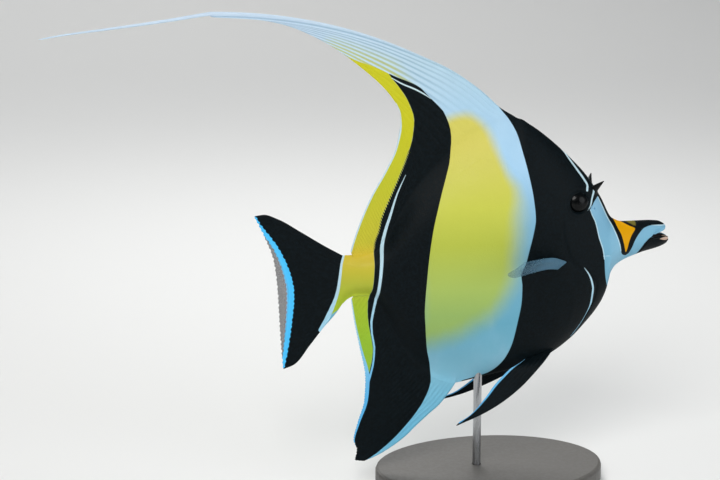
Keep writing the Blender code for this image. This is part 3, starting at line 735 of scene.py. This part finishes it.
# Markings, as (x, z) lines seen from the side
HEAD_REAR = [
    (57.4, 182), (59.4, 179), (61.6, 176.2), (63.7, 173.8), (65.6, 171), (67, 168.4), (68.2, 165),
    (69.1, 160.6), (71.6, 149.2), (73.8, 137), (74.5, 128.8), (73.7, 123.6), (71.5, 114.2), (70, 108),
    (68, 103), (68.8, 99.5), (69, 91.5), (67.7, 80), (66, 69), (62.8, 60.6), (57, 54.7), (50.5, 52.3),
    (44.5, 50.7)]
HEAD_FRONT = [
    (101.3, 131.4), (102.2, 129), (103.9, 125.5), (105.7, 118.3), (107.8, 112.2), (108.6, 107.9),
    (109.2, 102.5), (110.4, 97), (114, 90)]
HEAD_OUTSIDE_LOW = ((41, 47), (50, 40), (80, 40), (112, 60), (118, 80))
HEAD_OUTSIDE_HIGH = ((104.2, 134.8), (107.4, 137.6), (112, 150), (95, 165), (80, 178), (62, 186))
TAIL_BAND_TOP = [
    (8.9, 195.3), (13.2, 193.3), (17.6, 191.5), (20.9, 190), (23.7, 188.2), (26.4, 185.4), (29.2, 182.6),
    (31.8, 180), (34, 177.6)]
TAIL_RIGHT = [
    (34, 177.6), (35.9, 173.7), (37.4, 169), (37.8, 165), (37.6, 160.7), (36.9, 155), (35.2, 149.3),
    (31.7, 138.8), (27.7, 123.2), (25.4, 104.8), (24.5, 88.2), (25.3, 78.4), (26.7, 68.3), (28.8, 59.3),
    (29.5, 51.5), (28, 46), (25, 40), (19.4, 32.4), (13.7, 26.1), (8, 20.9), (3.2, 17.2), (-1.6, 14.2),
    (-4, 12.5)]
TAIL_BAND_LOW = ((-8, 10), (-12, 20), (-12, 30), (-6, 45), (-2.5, 57))
TAIL_LEFT = [
    (8.9, 195.3), (11, 192.4), (13.4, 189.5), (18.2, 181.9), (20.7, 173.8), (20.1, 166.6), (17.3, 156.9),
    (13.2, 146.5), (8.9, 136.6), (6, 129.5), (4.8, 123.8), (2.9, 118.5), (2, 107), (1.1, 96),
    (-0.2, 91.2), (-0.3, 86), (0.2, 80.2), (1.4, 74), (2.2, 67.9), (1.7, 63), (0.5, 57.5)]
STRIP_TOP = [(-16, 205), (-7.5, 202.2), (-3.7, 200.7), (0.7, 199.1), (5.6, 197), (8.9, 195.3)]
STRIP_OUTSIDE = (
    (-6, 57), (-11, 80), (-11, 90), (-20, 84), (-30, 100), (-14, 120), (-8, 140), (0, 160), (2, 172),
    (0, 185), (-10, 198))
CAUDAL_BASE = [
    (-10.8, 116.5), (-11.3, 113.3), (-12.5, 109.5), (-13.2, 104.4), (-14, 98.4), (-15.1, 93.7),
    (-16.7, 89.4), (-18.8, 84.7), (-22, 79)]
CAUDAL_BAND = [
    (-52.5, 134.6), (-48.9, 128), (-45.6, 123.4), (-42.2, 118.2), (-40, 113.7), (-38, 108.5),
    (-36.5, 103), (-35.7, 98), (-35.7, 93.5), (-36.2, 87), (-36.9, 80), (-37.8, 73), (-38.8, 66.5),
    (-40, 60.5)]
YELLOW = [
    (28, 172), (37, 174.5), (45, 176), (51, 173), (55.5, 167), (57.2, 161.5), (59, 156.5), (62.3, 149.5),
    (66.2, 142.6), (67.3, 135), (66.6, 124), (65.6, 112.6), (64, 101.6), (61, 93.5), (56.5, 86.8),
    (49.7, 80.5), (40.8, 75), (31.8, 72), (20, 69), (20, 120)]
SADDLE_REAR = [
    (105.4, 138.5), (106.6, 135.8), (108.4, 132), (110.9, 126.6), (113.4, 122.3), (115.2, 117.8),
    (116.4, 114.2), (117.3, 110.6), (118.6, 108.6), (120.4, 107.9)]
SADDLE_FRONT = [
    (120.4, 107.9), (121.8, 108.8), (122.8, 111), (124.3, 114.9), (126.6, 118.1), (129.7, 120.5),
    (133, 121.2), (139.6, 121.1)]
SADDLE_OUTSIDE = ((143, 124), (130, 126), (118, 126), (112, 136), (108, 141))
ORANGE = [
    (115, 125.2), (117.2, 124), (119.4, 123), (122.2, 121.6), (124.8, 120.3), (122.6, 117.4),
    (121.2, 114.2), (120.5, 110.8), (120.1, 109.7), (119.6, 110.8), (118.7, 114), (117.6, 118.1),
    (115.9, 122)]
LOWER_JAW_MARK = [
    (126.2, 106), (127, 109), (129.3, 113.3), (131.2, 115.4), (132.6, 116.2), (133.5, 117.4),
    (144, 117.4), (144, 104)]
LIP_PINK = [
    (137, 114.7), (138.2, 115.5), (139.7, 115.8), (141, 115.4), (142.1, 114.7), (142.6, 114.1),
    (141.3, 113.8), (139.1, 114.1)]
# Top of the snout, painted darker olive as shade where the saddle turns away from the light
SNOUT_TOP_SHADE = [
    (119.8, 124.1), (122.2, 122.7), (124.3, 121.6), (125.4, 121.4), (125.8, 122.4), (125.4, 125),
    (119.8, 125)]

# Painted lines: path, then widths along it; the two along the face's edges are painted highlights
LINES_AND_HIGHLIGHTS = [
    ([(80.5, 166.1), (86.4, 161.4), (90, 157.9), (92.7, 154.1), (96, 149.5), (99.9, 143.9), (100.8, 142),
      (100.3, 139.9)], (0.2, 0.4, 0.6, 0.9, 1.0, 1.0)),
    ([(105.4, 142.6), (103.9, 139.9), (102.8, 136.6), (101.7, 133.1), (100, 131.2)],
     (0.8, 1.1, 0.9, 0.7, 0.2)),
    ([(98.3, 105), (100.6, 102), (102.5, 98.1), (103.6, 93.5), (103.5, 87.5), (100.8, 78.5),
      (95.7, 69.6)], (0.3, 0.8, 0.9, 0.9, 0.7, 0.5, 0.2)),
    ([(101.9, 145.7), (103, 144.3)], (0.4, 0.5)),
    ([(17, 149.2), (13, 140.3), (9.9, 130.4), (7.9, 124.4), (6, 116.2), (5, 107.1), (4.2, 99.5),
      (3.4, 92), (2.2, 86), (1.4, 81), (1.7, 76), (2.8, 69), (2.5, 63), (1.4, 57.6), (-0.6, 50), (-2, 43),
      (-5, 34)], (0.2, 0.7, 1.2, 1.5, 1.4, 1.3, 1.1, 0.8, 0.8, 0.9, 1.0, 0.6)),
    ([(10.2, 193.3), (15.4, 190.3), (20.9, 187.9), (25.2, 185.5), (28.5, 183.2)],
     (0.3, 0.6, 0.7, 0.6, 0.2)),
    (ANAL_TIP[:1:-1], (0.6, 1.0, 1.3, 2.2, 3.9, 3.6, 2.4, 1.4, 0.0)),
    ([(12.4, 182), (14.3, 177.3)] + SOFT_TIP, (0.2, 0.9, 1.1, 1.1, 1.1, 1.1, 1.1, 1.0)),
    (CAUDAL_BASE, (0.9, 1.0, 1.2, 1.5, 2.2, 2.0)),
    (CAUDAL_BAND, (1.2, 1.9, 2.4, 3.2, 3.3, 2.8, 2.2, 1.4)),
    # Painted highlights: thin bright lines along the black band's front edge and the saddle's rear edge
    (HEAD_FRONT[:6], (0.3, 0.5, 0.5, 0.5)),
    (SADDLE_REAR[1:8], (0.5, 0.6, 0.5, 0.4)),
    ([(107.8, 109.4), (110, 109.3), (112.8, 109)], (0.1, 0.3, 0.1)),
    ([(133, 121.3), (136.5, 121.2), (140, 120.8)], (0.1, 0.4, 0.4)),
    ([(137.6, 123.2), (139.4, 122.2), (141, 120.9)], (0.1, 0.6, 0.5)),
]
# Thin darker line of painted shade where the tail's stem meets the fin below: path, widths
STEM_SHADE = ([(-7.5, 93.6), (-4, 94.3), (0, 93.9), (4.2, 91.4)], (0.3, 0.5, 0.3))


def closed(*lines):
    """One outline from smooth lines, given as lists, and plain corners, given as tuples."""
    parts = [smooth(line) if isinstance(line, list) else np.array(line, float) for line in lines]
    return np.concatenate(parts)


def loop(outline, count):
    """A smooth closed outline through its points."""
    return smooth(outline + outline[:1], count)[:-1]


def painted(points):
    """Every marking's distance from its edge at each (x, z), above 0 inside it."""
    bands = (closed(HEAD_REAR, HEAD_OUTSIDE_LOW, HEAD_FRONT[::-1], HEAD_OUTSIDE_HIGH),
             closed(TAIL_BAND_TOP, TAIL_RIGHT, TAIL_BAND_LOW, TAIL_LEFT[::-1]),
             closed(CAUDAL_BASE, ((-24, 50), (-44, 50)), CAUDAL_BAND[::-1], ((-52, 145), (-9, 145))),
             closed(SADDLE_REAR, SADDLE_FRONT, SADDLE_OUTSIDE), np.array(LOWER_JAW_MARK))
    areas = {"strip": closed(STRIP_TOP, TAIL_LEFT, STRIP_OUTSIDE), "orange": loop(ORANGE, 80),
             "pink": loop(LIP_PINK, 50), "olive": np.array(SNOUT_TOP_SHADE), "yellow": loop(YELLOW, 120),
             "clear": closed(CAUDAL_BAND, ((-44, 50), (-70, 50), (-70, 145)))}
    values = {word: inside(points, outline) for word, outline in areas.items()}
    values["black"] = np.max([inside(points, outline) for outline in bands], axis=0)
    values["line"] = np.max([stroke(points, *line) for line in LINES_AND_HIGHLIGHTS], axis=0)
    values["shade"] = stroke(points, *STEM_SHADE)
    return values


def make_mesh(name, points, faces, values=None):
    """An object in metres for points in millimetres, with float values on its points."""
    mesh = bpy.data.meshes.new(name)
    mesh.from_pydata((points * MM).tolist(), [], faces)
    for word, value in (values or {}).items():
        layer = mesh.attributes.new(word, "FLOAT", "POINT")
        layer.data.foreach_set("value", np.asarray(value, np.float32))
    work = bmesh.new()
    work.from_mesh(mesh)
    bmesh.ops.recalc_face_normals(work, faces=work.faces)
    work.to_mesh(mesh)
    work.free()
    mesh.shade_smooth()
    return put(name, mesh)


def put(name, data):
    """A new object in the scene."""
    thing = bpy.data.objects.new(name, data)
    bpy.context.scene.collection.objects.link(thing)
    return thing


def wear(thing, material):
    """Give a thing one material in place of any others."""
    thing.data.materials.clear()
    thing.data.materials.append(material)


def srgb(red, green, blue):
    """A colour for a shader from display values of 0 to 255."""
    values = np.array((red, green, blue)) / 255
    linear = np.where(values <= 0.04045, values / 12.92, ((values + 0.055) / 1.055) ** 2.4)
    return (*linear.tolist(), 1.0)


class Look:
    """A Principled material and short ways to add nodes to it."""

    def __init__(self, name, colour, roughness, metallic=0.0):
        self.material = bpy.data.materials.new(name)
        self.material.use_nodes = True
        self.tree = self.material.node_tree
        self.shader = self.tree.nodes["Principled BSDF"]
        self.colour = colour
        for word, value in (("Base Color", colour), ("Roughness", roughness), ("Metallic", metallic)):
            self.paint(word, value)

    def plug(self, source, target):
        """Set an input to a number or colour, or link another node's output to it."""
        if isinstance(source, bpy.types.NodeSocket):
            self.tree.links.new(source, target)
        else:
            target.default_value = source

    def node(self, kind, **inputs):
        """A new node with its inputs plugged by name."""
        node = self.tree.nodes.new("ShaderNode" + kind)
        for word, source in inputs.items():
            self.plug(source, node.inputs[word])
        return node

    def paint(self, word, source):
        self.plug(source, self.shader.inputs[word])

    def place(self, stretch=(1, 1, 1)):
        """Place on the object, in metres, stretched."""
        source = self.node("TexCoord").outputs["Object"]
        return self.node("Mapping", Vector=source, Scale=stretch).outputs["Vector"]

    def height(self):
        """Z on the object, in metres."""
        return self.node("SeparateXYZ", Vector=self.place()).outputs["Z"]

    def noise(self, scale, detail=3.0, stretch=(1, 1, 1)):
        """Cloudy noise from 0 to 1; scale is per metre."""
        node = self.node("TexNoise", Scale=scale, Detail=detail, Vector=self.place(stretch))
        return node.outputs["Fac"]

    def cells(self, scale, stretch=(1, 1, 1)):
        """Distance from the nearest of many scattered points."""
        return self.node("TexVoronoi", Scale=scale, Vector=self.place(stretch)).outputs["Distance"]

    def value(self, word):
        """A float value stored on the mesh."""
        node = self.node("Attribute")
        node.attribute_name = word
        return node.outputs["Fac"]

    def span(self, source, low, high, start=0.0, end=1.0):
        """Smooth change from start at low to end at high."""
        node = self.node("MapRange")
        node.interpolation_type = "SMOOTHSTEP"
        for word, number in zip(("Value", "From Min", "From Max", "To Min", "To Max"),
                                (source, low, high, start, end)):
            self.plug(number, node.inputs[word])
        return node.outputs["Result"]

    def mark(self, word, low, high, end=1.0):
        """Smooth change from 0 to an end of a value stored on the mesh."""
        return self.span(self.value(word), low, high, 0, end)

    def math(self, kind, first, second=0.0):
        node = self.node("Math")
        node.operation = kind
        self.plug(first, node.inputs[0])
        self.plug(second, node.inputs[1])
        return node.outputs[0]

    def times(self, first, second):
        return self.math("MULTIPLY", first, second)

    def between(self, source, rise, fall):
        """1 where a source is past its rise and not past its fall."""
        return self.times(self.span(source, *rise), self.span(source, *fall))

    def sine(self, source, rate):
        """Sine wave from -1 to 1 of a source times a rate."""
        return self.math("SINE", self.times(source, float(rate)))

    def mix(self, share, first, second):
        """Colour between two colours."""
        node = self.node("Mix")
        node.data_type = "RGBA"
        for word, source in (("Factor", share), ("A", first), ("B", second)):
            self.plug(source, node.inputs[word])
        return node.outputs["Result"]

    def over(self, share, tone):
        """Lay a tone over the colour so far."""
        self.colour = self.mix(share, self.colour, tone)

    def ramp(self, source, stops):
        """Colour that changes along a source, by stops of place and display colour."""
        first, reach = stops[0][0], stops[-1][0] - stops[0][0]
        share = self.math("DIVIDE", self.math("SUBTRACT", source, first), reach)
        node = self.node("ValToRGB", Fac=share)
        elements = node.color_ramp.elements
        elements[0].color, elements[1].color = srgb(*stops[0][1]), srgb(*stops[-1][1])
        for place, colour in stops[1:-1]:
            elements.new((place - first) / reach).color = srgb(*colour)
        return node.outputs["Color"]

    def raise_by(self, *heights):
        """Add bump layers, each a height and a depth in metres."""
        last = None
        for source, depth in heights:
            node = self.node("Bump", Distance=depth, Height=source)
            if last:
                self.plug(last, node.inputs["Normal"])
            last = node.outputs["Normal"]
        self.paint("Normal", last)


# Skin tones by height in metres, mostly darker and bluer lower down as painted shade where the light falls
# off
PALE_TONES = [
    (0.03, (112, 188, 220)), (0.058, (128, 188, 210)), (0.08, (103, 170, 194)), (0.125, (122, 176, 204)),
    (0.152, (163, 206, 236)), (0.175, (170, 206, 230)), (0.2, (176, 206, 222)), (0.224, (184, 206, 228))]
YELLOW_TONES = [
    (0.085, (150, 182, 98)), (0.098, (167, 190, 92)), (0.118, (180, 190, 68)), (0.135, (199, 202, 76)),
    (0.162, (210, 201, 92))]
STRIP_TONES = [
    (0.072, (146, 187, 40)), (0.09, (162, 187, 34)), (0.1, (176, 182, 52)), (0.113, (206, 181, 42)),
    (0.119, (194, 186, 42)), (0.145, (190, 191, 34)), (0.17, (197, 194, 14))]
LINE_TONES = [
    (0.045, (92, 182, 235)), (0.075, (150, 206, 232)), (0.1, (184, 216, 230)), (0.2, (200, 222, 226))]
# Other skin tones
HAZE = srgb(196, 224, 242)
SAIL_RAY = srgb(214, 228, 240)
# Painted shade for the grooves between the sail's rays
SAIL_GROOVE_SHADE = srgb(128, 160, 182)
SAIL_REAR = srgb(186, 192, 106)
BLACKS = (srgb(3, 10, 13), srgb(9, 20, 25))
# Painted shade for the line where the tail's stem meets the fin below
SHADE = srgb(84, 100, 60)
TAIL_BLUE = srgb(76, 194, 252)
LIP = srgb(206, 178, 160)
PECTORAL_TONES = (srgb(62, 104, 128), srgb(104, 148, 172))
# Painted shade for the inside of the mouth, the recess between the jaws
MOUTH_SHADE = srgb(34, 26, 27)
# Flat markings: the value that draws them, where they start and are full, and their tone
# The third flat mark is painted shade: the snout's top, darker olive where the saddle turns away from the
# light
FLAT_MARKS = [("clear", -0.1, 0.2, srgb(104, 104, 106)), ("orange", -0.12, 0.12, srgb(222, 158, 0)),
              ("olive", -0.3, 0.5, srgb(112, 104, 44))]
# Number and size of the teeth between strip and band, and the skin's fine relief in metres
RAY_TEETH = 62
TOOTH = 0.4
STRIAE = 900
SCALE_RELIEF = 0.00005
SKIN_RELIEF = 0.0002
STRIAE_RELIEF = 0.000006


def paint_flank(look, mottle, on_sail):
    """The pale flanks and sail, with the sail's rays and painted shade in its grooves, and the yellow of
    the flank; pale and yellow are darker lower down as painted shade.
    """
    height, ray = look.height(), look.value("ray")
    outer = look.times(on_sail, look.mark("step", 0.1, 0.5))
    rear = look.times(look.mark("strip", -9, -2, 0.8), look.span(ray, 1, 0.6))
    # Pale skin by height, darker lower down: painted shade
    look.colour = look.ramp(height, PALE_TONES)
    look.over(look.span(mottle, 0.45, 0.75, 0, 0.15), HAZE)
    look.over(look.times(outer, look.span(ray, 0.7, 1, 0, 0.35)), SAIL_RAY)
    # Sail's grooves between the rays painted darker: painted shade
    look.over(look.times(outer, look.span(ray, 0.9, 0, 0, 0.6)), SAIL_GROOVE_SHADE)
    look.over(look.times(rear, on_sail), SAIL_REAR)
    wash = look.times(look.math("SUBTRACT", mottle, 0.5), 5.0)
    patch = look.times(look.value("yellow"), look.span(height, 0.128, 0.155, 0.8, 1.9))
    # Yellow by height, darker and greener lower down: painted shade
    look.over(look.span(look.math("ADD", patch, wash), -6, 6), look.ramp(height, YELLOW_TONES))


def paint_bands(look, fine):
    """The yellow strip, the painted shade line under the tail's stem, and the black bands; returns how
    black the skin is.
    """
    on_soft = look.between(look.value("web"), (1.5, 1.9), (2.5, 2.1))
    near = look.times(look.mark("strip", -2.5, -1, TOOTH), on_soft)
    saw = look.times(look.sine(look.value("share"), 2 * math.pi * RAY_TEETH), near)
    strip = look.span(look.math("ADD", look.value("strip"), saw), -0.2, 0.2)
    # Strip yellow by height, darker and greener lower down: painted shade
    look.over(strip, look.ramp(look.height(), STRIP_TONES))
    # Painted shade along the line where the tail's stem meets the fin below
    look.over(look.mark("shade", -0.15, 0.25, 0.3), SHADE)
    dark = look.span(look.math("SUBTRACT", look.value("black"), saw), -0.13, 0.13)
    look.over(dark, look.mix(look.span(fine, 0.3, 0.8), *BLACKS))
    return dark


def paint_marks(look, pectoral):
    """Flat markings, painted lines and highlights, the tail's blue band, the lip, the pectoral fin and the
    mouth's painted shade.
    """
    for word, low, high, tone in FLAT_MARKS:
        look.over(look.mark(word, low, high), tone)
    blue = look.times(look.mark("clear", -8, -5), look.mark("web", 3.2, 3.8))
    # White lines by height, darker and bluer lower down: painted shade
    line_tone = look.mix(blue, look.ramp(look.height(), LINE_TONES), TAIL_BLUE)
    # White lines, and two painted highlights along the face's edges
    look.over(look.mark("line", -0.12, 0.12), line_tone)
    look.over(look.mark("pink", -0.1, 0.15), LIP)
    look.over(pectoral, look.mix(look.value("ray"), *PECTORAL_TONES))
    # Inside of the mouth painted near black: painted shade in the recess between the jaws
    look.over(look.mark("kind", 2.4, 2.8), MOUTH_SHADE)


def skin_look():
    """The fish's skin, whose markings come from values on the mesh."""
    look = Look("fish_skin", srgb(180, 205, 225), 0.5)
    mottle, fine = look.noise(70, 3, (1, 1, 0.5)), look.noise(900, 3)
    web = look.value("web")
    pectoral = look.between(look.value("kind"), (0.2, 0.8), (1.6, 1.2))
    paint_flank(look, mottle, look.between(web, (0.2, 0.8), (1.8, 1.2)))
    dark = paint_bands(look, fine)
    paint_marks(look, pectoral)
    look.paint("Base Color", look.colour)

    fading = look.times(pectoral, look.span(look.value("step"), 0.2, 0.95, 0.1, 0.75))
    see_through = look.math("MAXIMUM", look.mark("clear", 0.5, 1.5, 0.4), fading)
    look.paint("Alpha", look.math("SUBTRACT", 1.0, see_through))
    look.paint("Roughness", look.span(fine, 0.2, 0.8, 0.45, 0.62))
    look.paint("Specular IOR Level", look.span(dark, 0, 1, 0.35, 0.1))
    striae = look.times(look.sine(look.value("share"), STRIAE), look.span(web, 0.2, 0.8))
    scales = look.cells(1500, (1, 1, 0.7))
    look.raise_by((scales, SCALE_RELIEF), (mottle, SKIN_RELIEF), (striae, STRIAE_RELIEF))
    return look.material


def dress(thing, material, slot=None, *nodes):
    """Give a piece its look, and let it ride with the object in place of CAD nodes."""
    wear(thing, material)
    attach(thing, "root")
    if nodes:
        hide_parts(*nodes)
    return thing


def make_skin():
    points, faces, values = build_skin()
    skin = make_mesh("skin", points, clean_faces(faces), values)
    nodes = [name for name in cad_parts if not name.startswith(("eye", "horn", "stand"))]
    return dress(skin, skin_look(), "black_skin", *nodes)


# The two sides, and the eyes', horns' and teeth's sizes
SIDES = [(-1, "right"), (1, "left")]
EYE_RADIUS = 5.4
EYE_SINK = 2.6
EYE_BULGE = 0.7
EYE_RINGS = 41
EYE_SIDES = 64
HORN_LENGTH = 8.3
HORN_LEAN = (0.31, 0.70, 0.63)
HORN_RADIUS = 1.9
HORN_FLARE = 0.6
HORN_SINK = 0.8
HORN_BEND = 0.5
HORN_RINGS = 40
HORN_SIDES = 24
# Teeth by jaw: the front tooth's x and z, its lean and their number; then how wide each row turns
TOOTH_ROWS = [(UPPER_LIP_X - 0.9, 119.6, (0.35, 0, -0.94), 11),
              (JAW_TIP_X - 1.9, 114.6, (0.45, 0, 0.89), 13)]
TOOTH_TURN = 0.85
TOOTH_ARCH = (2.6, 1.75)
TOOTH_LENGTH = 1.3
TOOTH_RADIUS = 0.16
TOOTH_RINGS = 7
TOOTH_SIDES = 8


def circle(count):
    """Cosine and sine at evenly set turns."""
    turns = np.linspace(0, 2 * math.pi, count, endpoint=False)
    return np.cos(turns), np.sin(turns)


def tube_faces(rings, sides):
    """Faces of a closed tube of rings, its two ends capped."""
    faces = [tuple(range(sides)), tuple(range((rings - 1) * sides, rings * sides))]
    for k in range(rings - 1):
        for i in range(sides):
            a, b = k * sides + i, k * sides + (i + 1) % sides
            faces.append((a, b, b + sides, a + sides))
    return faces


def eye_look():
    """A black eye with a faintly paler iris, glossy all over."""
    look = Look("eye", srgb(3, 4, 5), 0.2)
    look.paint("Specular IOR Level", 0.16)
    look.over(look.mark("ring", 0.42, 0.46), look.mix(look.noise(2500, 3), srgb(5, 8, 9), srgb(12, 12, 12)))
    look.over(look.mark("ring", 0.70, 0.76), srgb(4, 9, 11))
    look.paint("Base Color", look.colour)
    return look.material


def make_eyes():
    """Both eyeballs, sunk in their sockets."""
    material = eye_look()
    depth = float(skin_depth(*np.array(EYE))) - EYE_SINK
    across, upward = circle(EYE_SIDES)
    tilt = np.linspace(0, math.pi, EYE_RINGS)
    ring = np.repeat(np.sin(tilt) + 2 * (tilt > math.pi / 2), EYE_SIDES)
    for side, word in SIDES:
        rings = []
        for angle in tilt:
            radius, y = EYE_RADIUS * math.sin(angle), EYE_BULGE * EYE_RADIUS * math.cos(angle)
            rings.append(stack(EYE[0] + radius * across, side * (depth + y), EYE[1] + radius * upward))
        eye = make_mesh(f"eye_{word}_ball", np.concatenate(rings), tube_faces(EYE_RINGS, EYE_SIDES),
                        {"ring": ring})
        dress(eye, material, "eye", "eye_" + word)


def horn_rings(side):
    """Rings of one side's horn, from inside the head to its tip."""
    lean = np.array(HORN_LEAN) * (1, side, 1)
    lean /= np.linalg.norm(lean)
    across = np.cross((0, 1, 0), lean)
    across /= np.linalg.norm(across)
    upward = 0.8 * np.cross(lean, across)
    x, z = HORN_ROOT
    depth = float(skin_depth(np.array(x), np.array(z))) + HORN_RIDGE
    root = np.array((x, side * (depth - HORN_SINK), z))
    around = sum(np.outer(wave, axis) for wave, axis in zip(circle(HORN_SIDES), (across, upward)))
    rings = []
    for share in np.linspace(0, 1, HORN_RINGS):
        radius = HORN_RADIUS * (1 - share) ** 0.85 + 0.1 + HORN_FLARE * max(0, 1 - share / 0.2) ** 2
        if share == 1:
            radius = 0.05
        bend = np.array((HORN_BEND * share ** 2, 0, 0))
        rings.append(root + lean * (HORN_LENGTH * share - HORN_SINK) + bend + around * radius)
    return rings


def make_horns():
    """The two short thorns in front of the eyes."""
    look = Look("horn", srgb(8, 10, 11), 0.5)
    look.paint("Specular IOR Level", 0.25)
    look.raise_by((look.noise(2200, 3, (1, 1, 0.25)), 0.00006))
    for side, word in SIDES:
        horn = make_mesh(f"horn_{word}_spike", np.concatenate(horn_rings(side)),
                         tube_faces(HORN_RINGS, HORN_SIDES))
        dress(horn, look.material, "horn", "horn_" + word)


def make_teeth():
    """Rows of bristle-like teeth in both jaws."""
    look = Look("teeth", srgb(226, 200, 170), 0.35)
    points, faces = [], []
    around = stack(*circle(TOOTH_SIDES), 0)
    for front_x, z, lean, teeth in TOOTH_ROWS:
        lean = np.array(lean) / np.linalg.norm(lean)
        for turn in np.linspace(-TOOTH_TURN, TOOTH_TURN, teeth):
            root = np.array((front_x - TOOTH_ARCH[0] * (1 - math.cos(turn)),
                             TOOTH_ARCH[1] * math.sin(turn), z))
            first = len(points) * TOOTH_SIDES
            for share in np.linspace(0, 1, TOOTH_RINGS):
                radius = TOOTH_RADIUS * (1 - 0.7 * share ** 1.5)
                points.append(root + lean * (TOOTH_LENGTH * share - 0.3) + around * radius)
            faces += [tuple(first + c for c in face) for face in tube_faces(TOOTH_RINGS, TOOTH_SIDES)]
    dress(make_mesh("teeth", np.concatenate(points), faces), look.material)


def look_stand():
    """Finer materials for the plate and the rod."""
    plate = Look("stand_plate", srgb(92, 90, 86), 0.5)
    grain = plate.noise(600, 5)
    plate.paint("Base Color", plate.mix(grain, srgb(78, 76, 73), srgb(104, 101, 96)))
    plate.paint("Roughness", plate.span(grain, 0.3, 0.7, 0.42, 0.6))
    plate.raise_by((grain, 0.00003))
    rod = Look("stand_rod", srgb(178, 179, 182), 0.28, 1.0)
    brushed = rod.noise(3000, 3, (1, 1, 0.04))
    rod.paint("Roughness", rod.span(brushed, 0.3, 0.7, 0.2, 0.38))
    rod.raise_by((brushed, 0.00001))
    for word, look in (("stand_base", plate), ("stand_rod", rod)):
        wear(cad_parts[word], look.material)


# The stage, in mm: the floor's run back and up, and softboxes by place, aim, size, power and tint
FLOOR_RUN = [(-3000, 0), (1500, 0), (1900, 30), (2150, 130), (2320, 320), (2400, 620), (2420, 3500)]
FLOOR_HALF_WIDTH = 4000
FISH = (20, 0, 110)
SOFTBOXES = [((-350, -750, 800), FISH, 600, 7.6, (1, 0.99, 0.97)),
             ((650, -650, 350), FISH, 700, 2.7, (0.93, 0.97, 1)),
             ((100, 500, 700), FISH, 500, 3.0, (1, 1, 1)),
             ((0, 1150, 1900), (0, 2400, 500), 1600, 22, (1, 1, 1))]
WORLD_TINT = (0.85, 0.9, 1, 1)
WORLD_STRENGTH = 0.15


def make_stage():
    """A pale floor that rises into a far backdrop, and soft lights on both."""
    line = smooth(FLOOR_RUN, 80)
    points = np.array([(x, y, z) for y, z in line for x in (-FLOOR_HALF_WIDTH, FLOOR_HALF_WIDTH)])
    faces = [(2 * k, 2 * k + 1, 2 * k + 3, 2 * k + 2) for k in range(len(line) - 1)]
    floor = make_mesh("floor", points, faces)
    wear(floor, Look("floor", srgb(232, 232, 230), 0.7).material)
    floor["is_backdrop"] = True

    for place, target, size, power, tint in SOFTBOXES:
        lamp = bpy.data.lights.new("softbox", "AREA")
        lamp.shape = "DISK"
        lamp.size = size * MM
        lamp.energy = power
        lamp.color = tint
        thing = put("softbox", lamp)
        thing.location = Vector(place) * MM
        aim = Vector(target) * MM - thing.location
        thing.rotation_euler = aim.to_track_quat("-Z", "Y").to_euler()
    world = bpy.data.worlds.new("studio")
    world.use_nodes = True
    background = world.node_tree.nodes["Background"].inputs
    background["Color"].default_value = WORLD_TINT
    background["Strength"].default_value = WORLD_STRENGTH
    bpy.context.scene.world = world
    bpy.context.scene.view_settings.view_transform = "Standard"


def make_camera():
    camera = bpy.data.cameras.new("camera")
    camera.lens = LENS
    camera.sensor_width = SENSOR
    thing = put("camera", camera)
    level = math.cos(ELEVATION)
    toward = Vector((math.sin(AZIMUTH) * level, -math.cos(AZIMUTH) * level, math.sin(ELEVATION)))
    thing.location = (Vector(TARGET) + toward * DISTANCE) * MM
    thing.rotation_euler = (-toward).to_track_quat("-Z", "Y").to_euler()
    bpy.context.scene.camera = thing


make_skin()
make_eyes()
make_horns()
make_teeth()
look_stand()
make_stage()
make_camera()
[[list(map(float, corner)) for corner in box] for box in (CAD_BOX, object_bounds())]
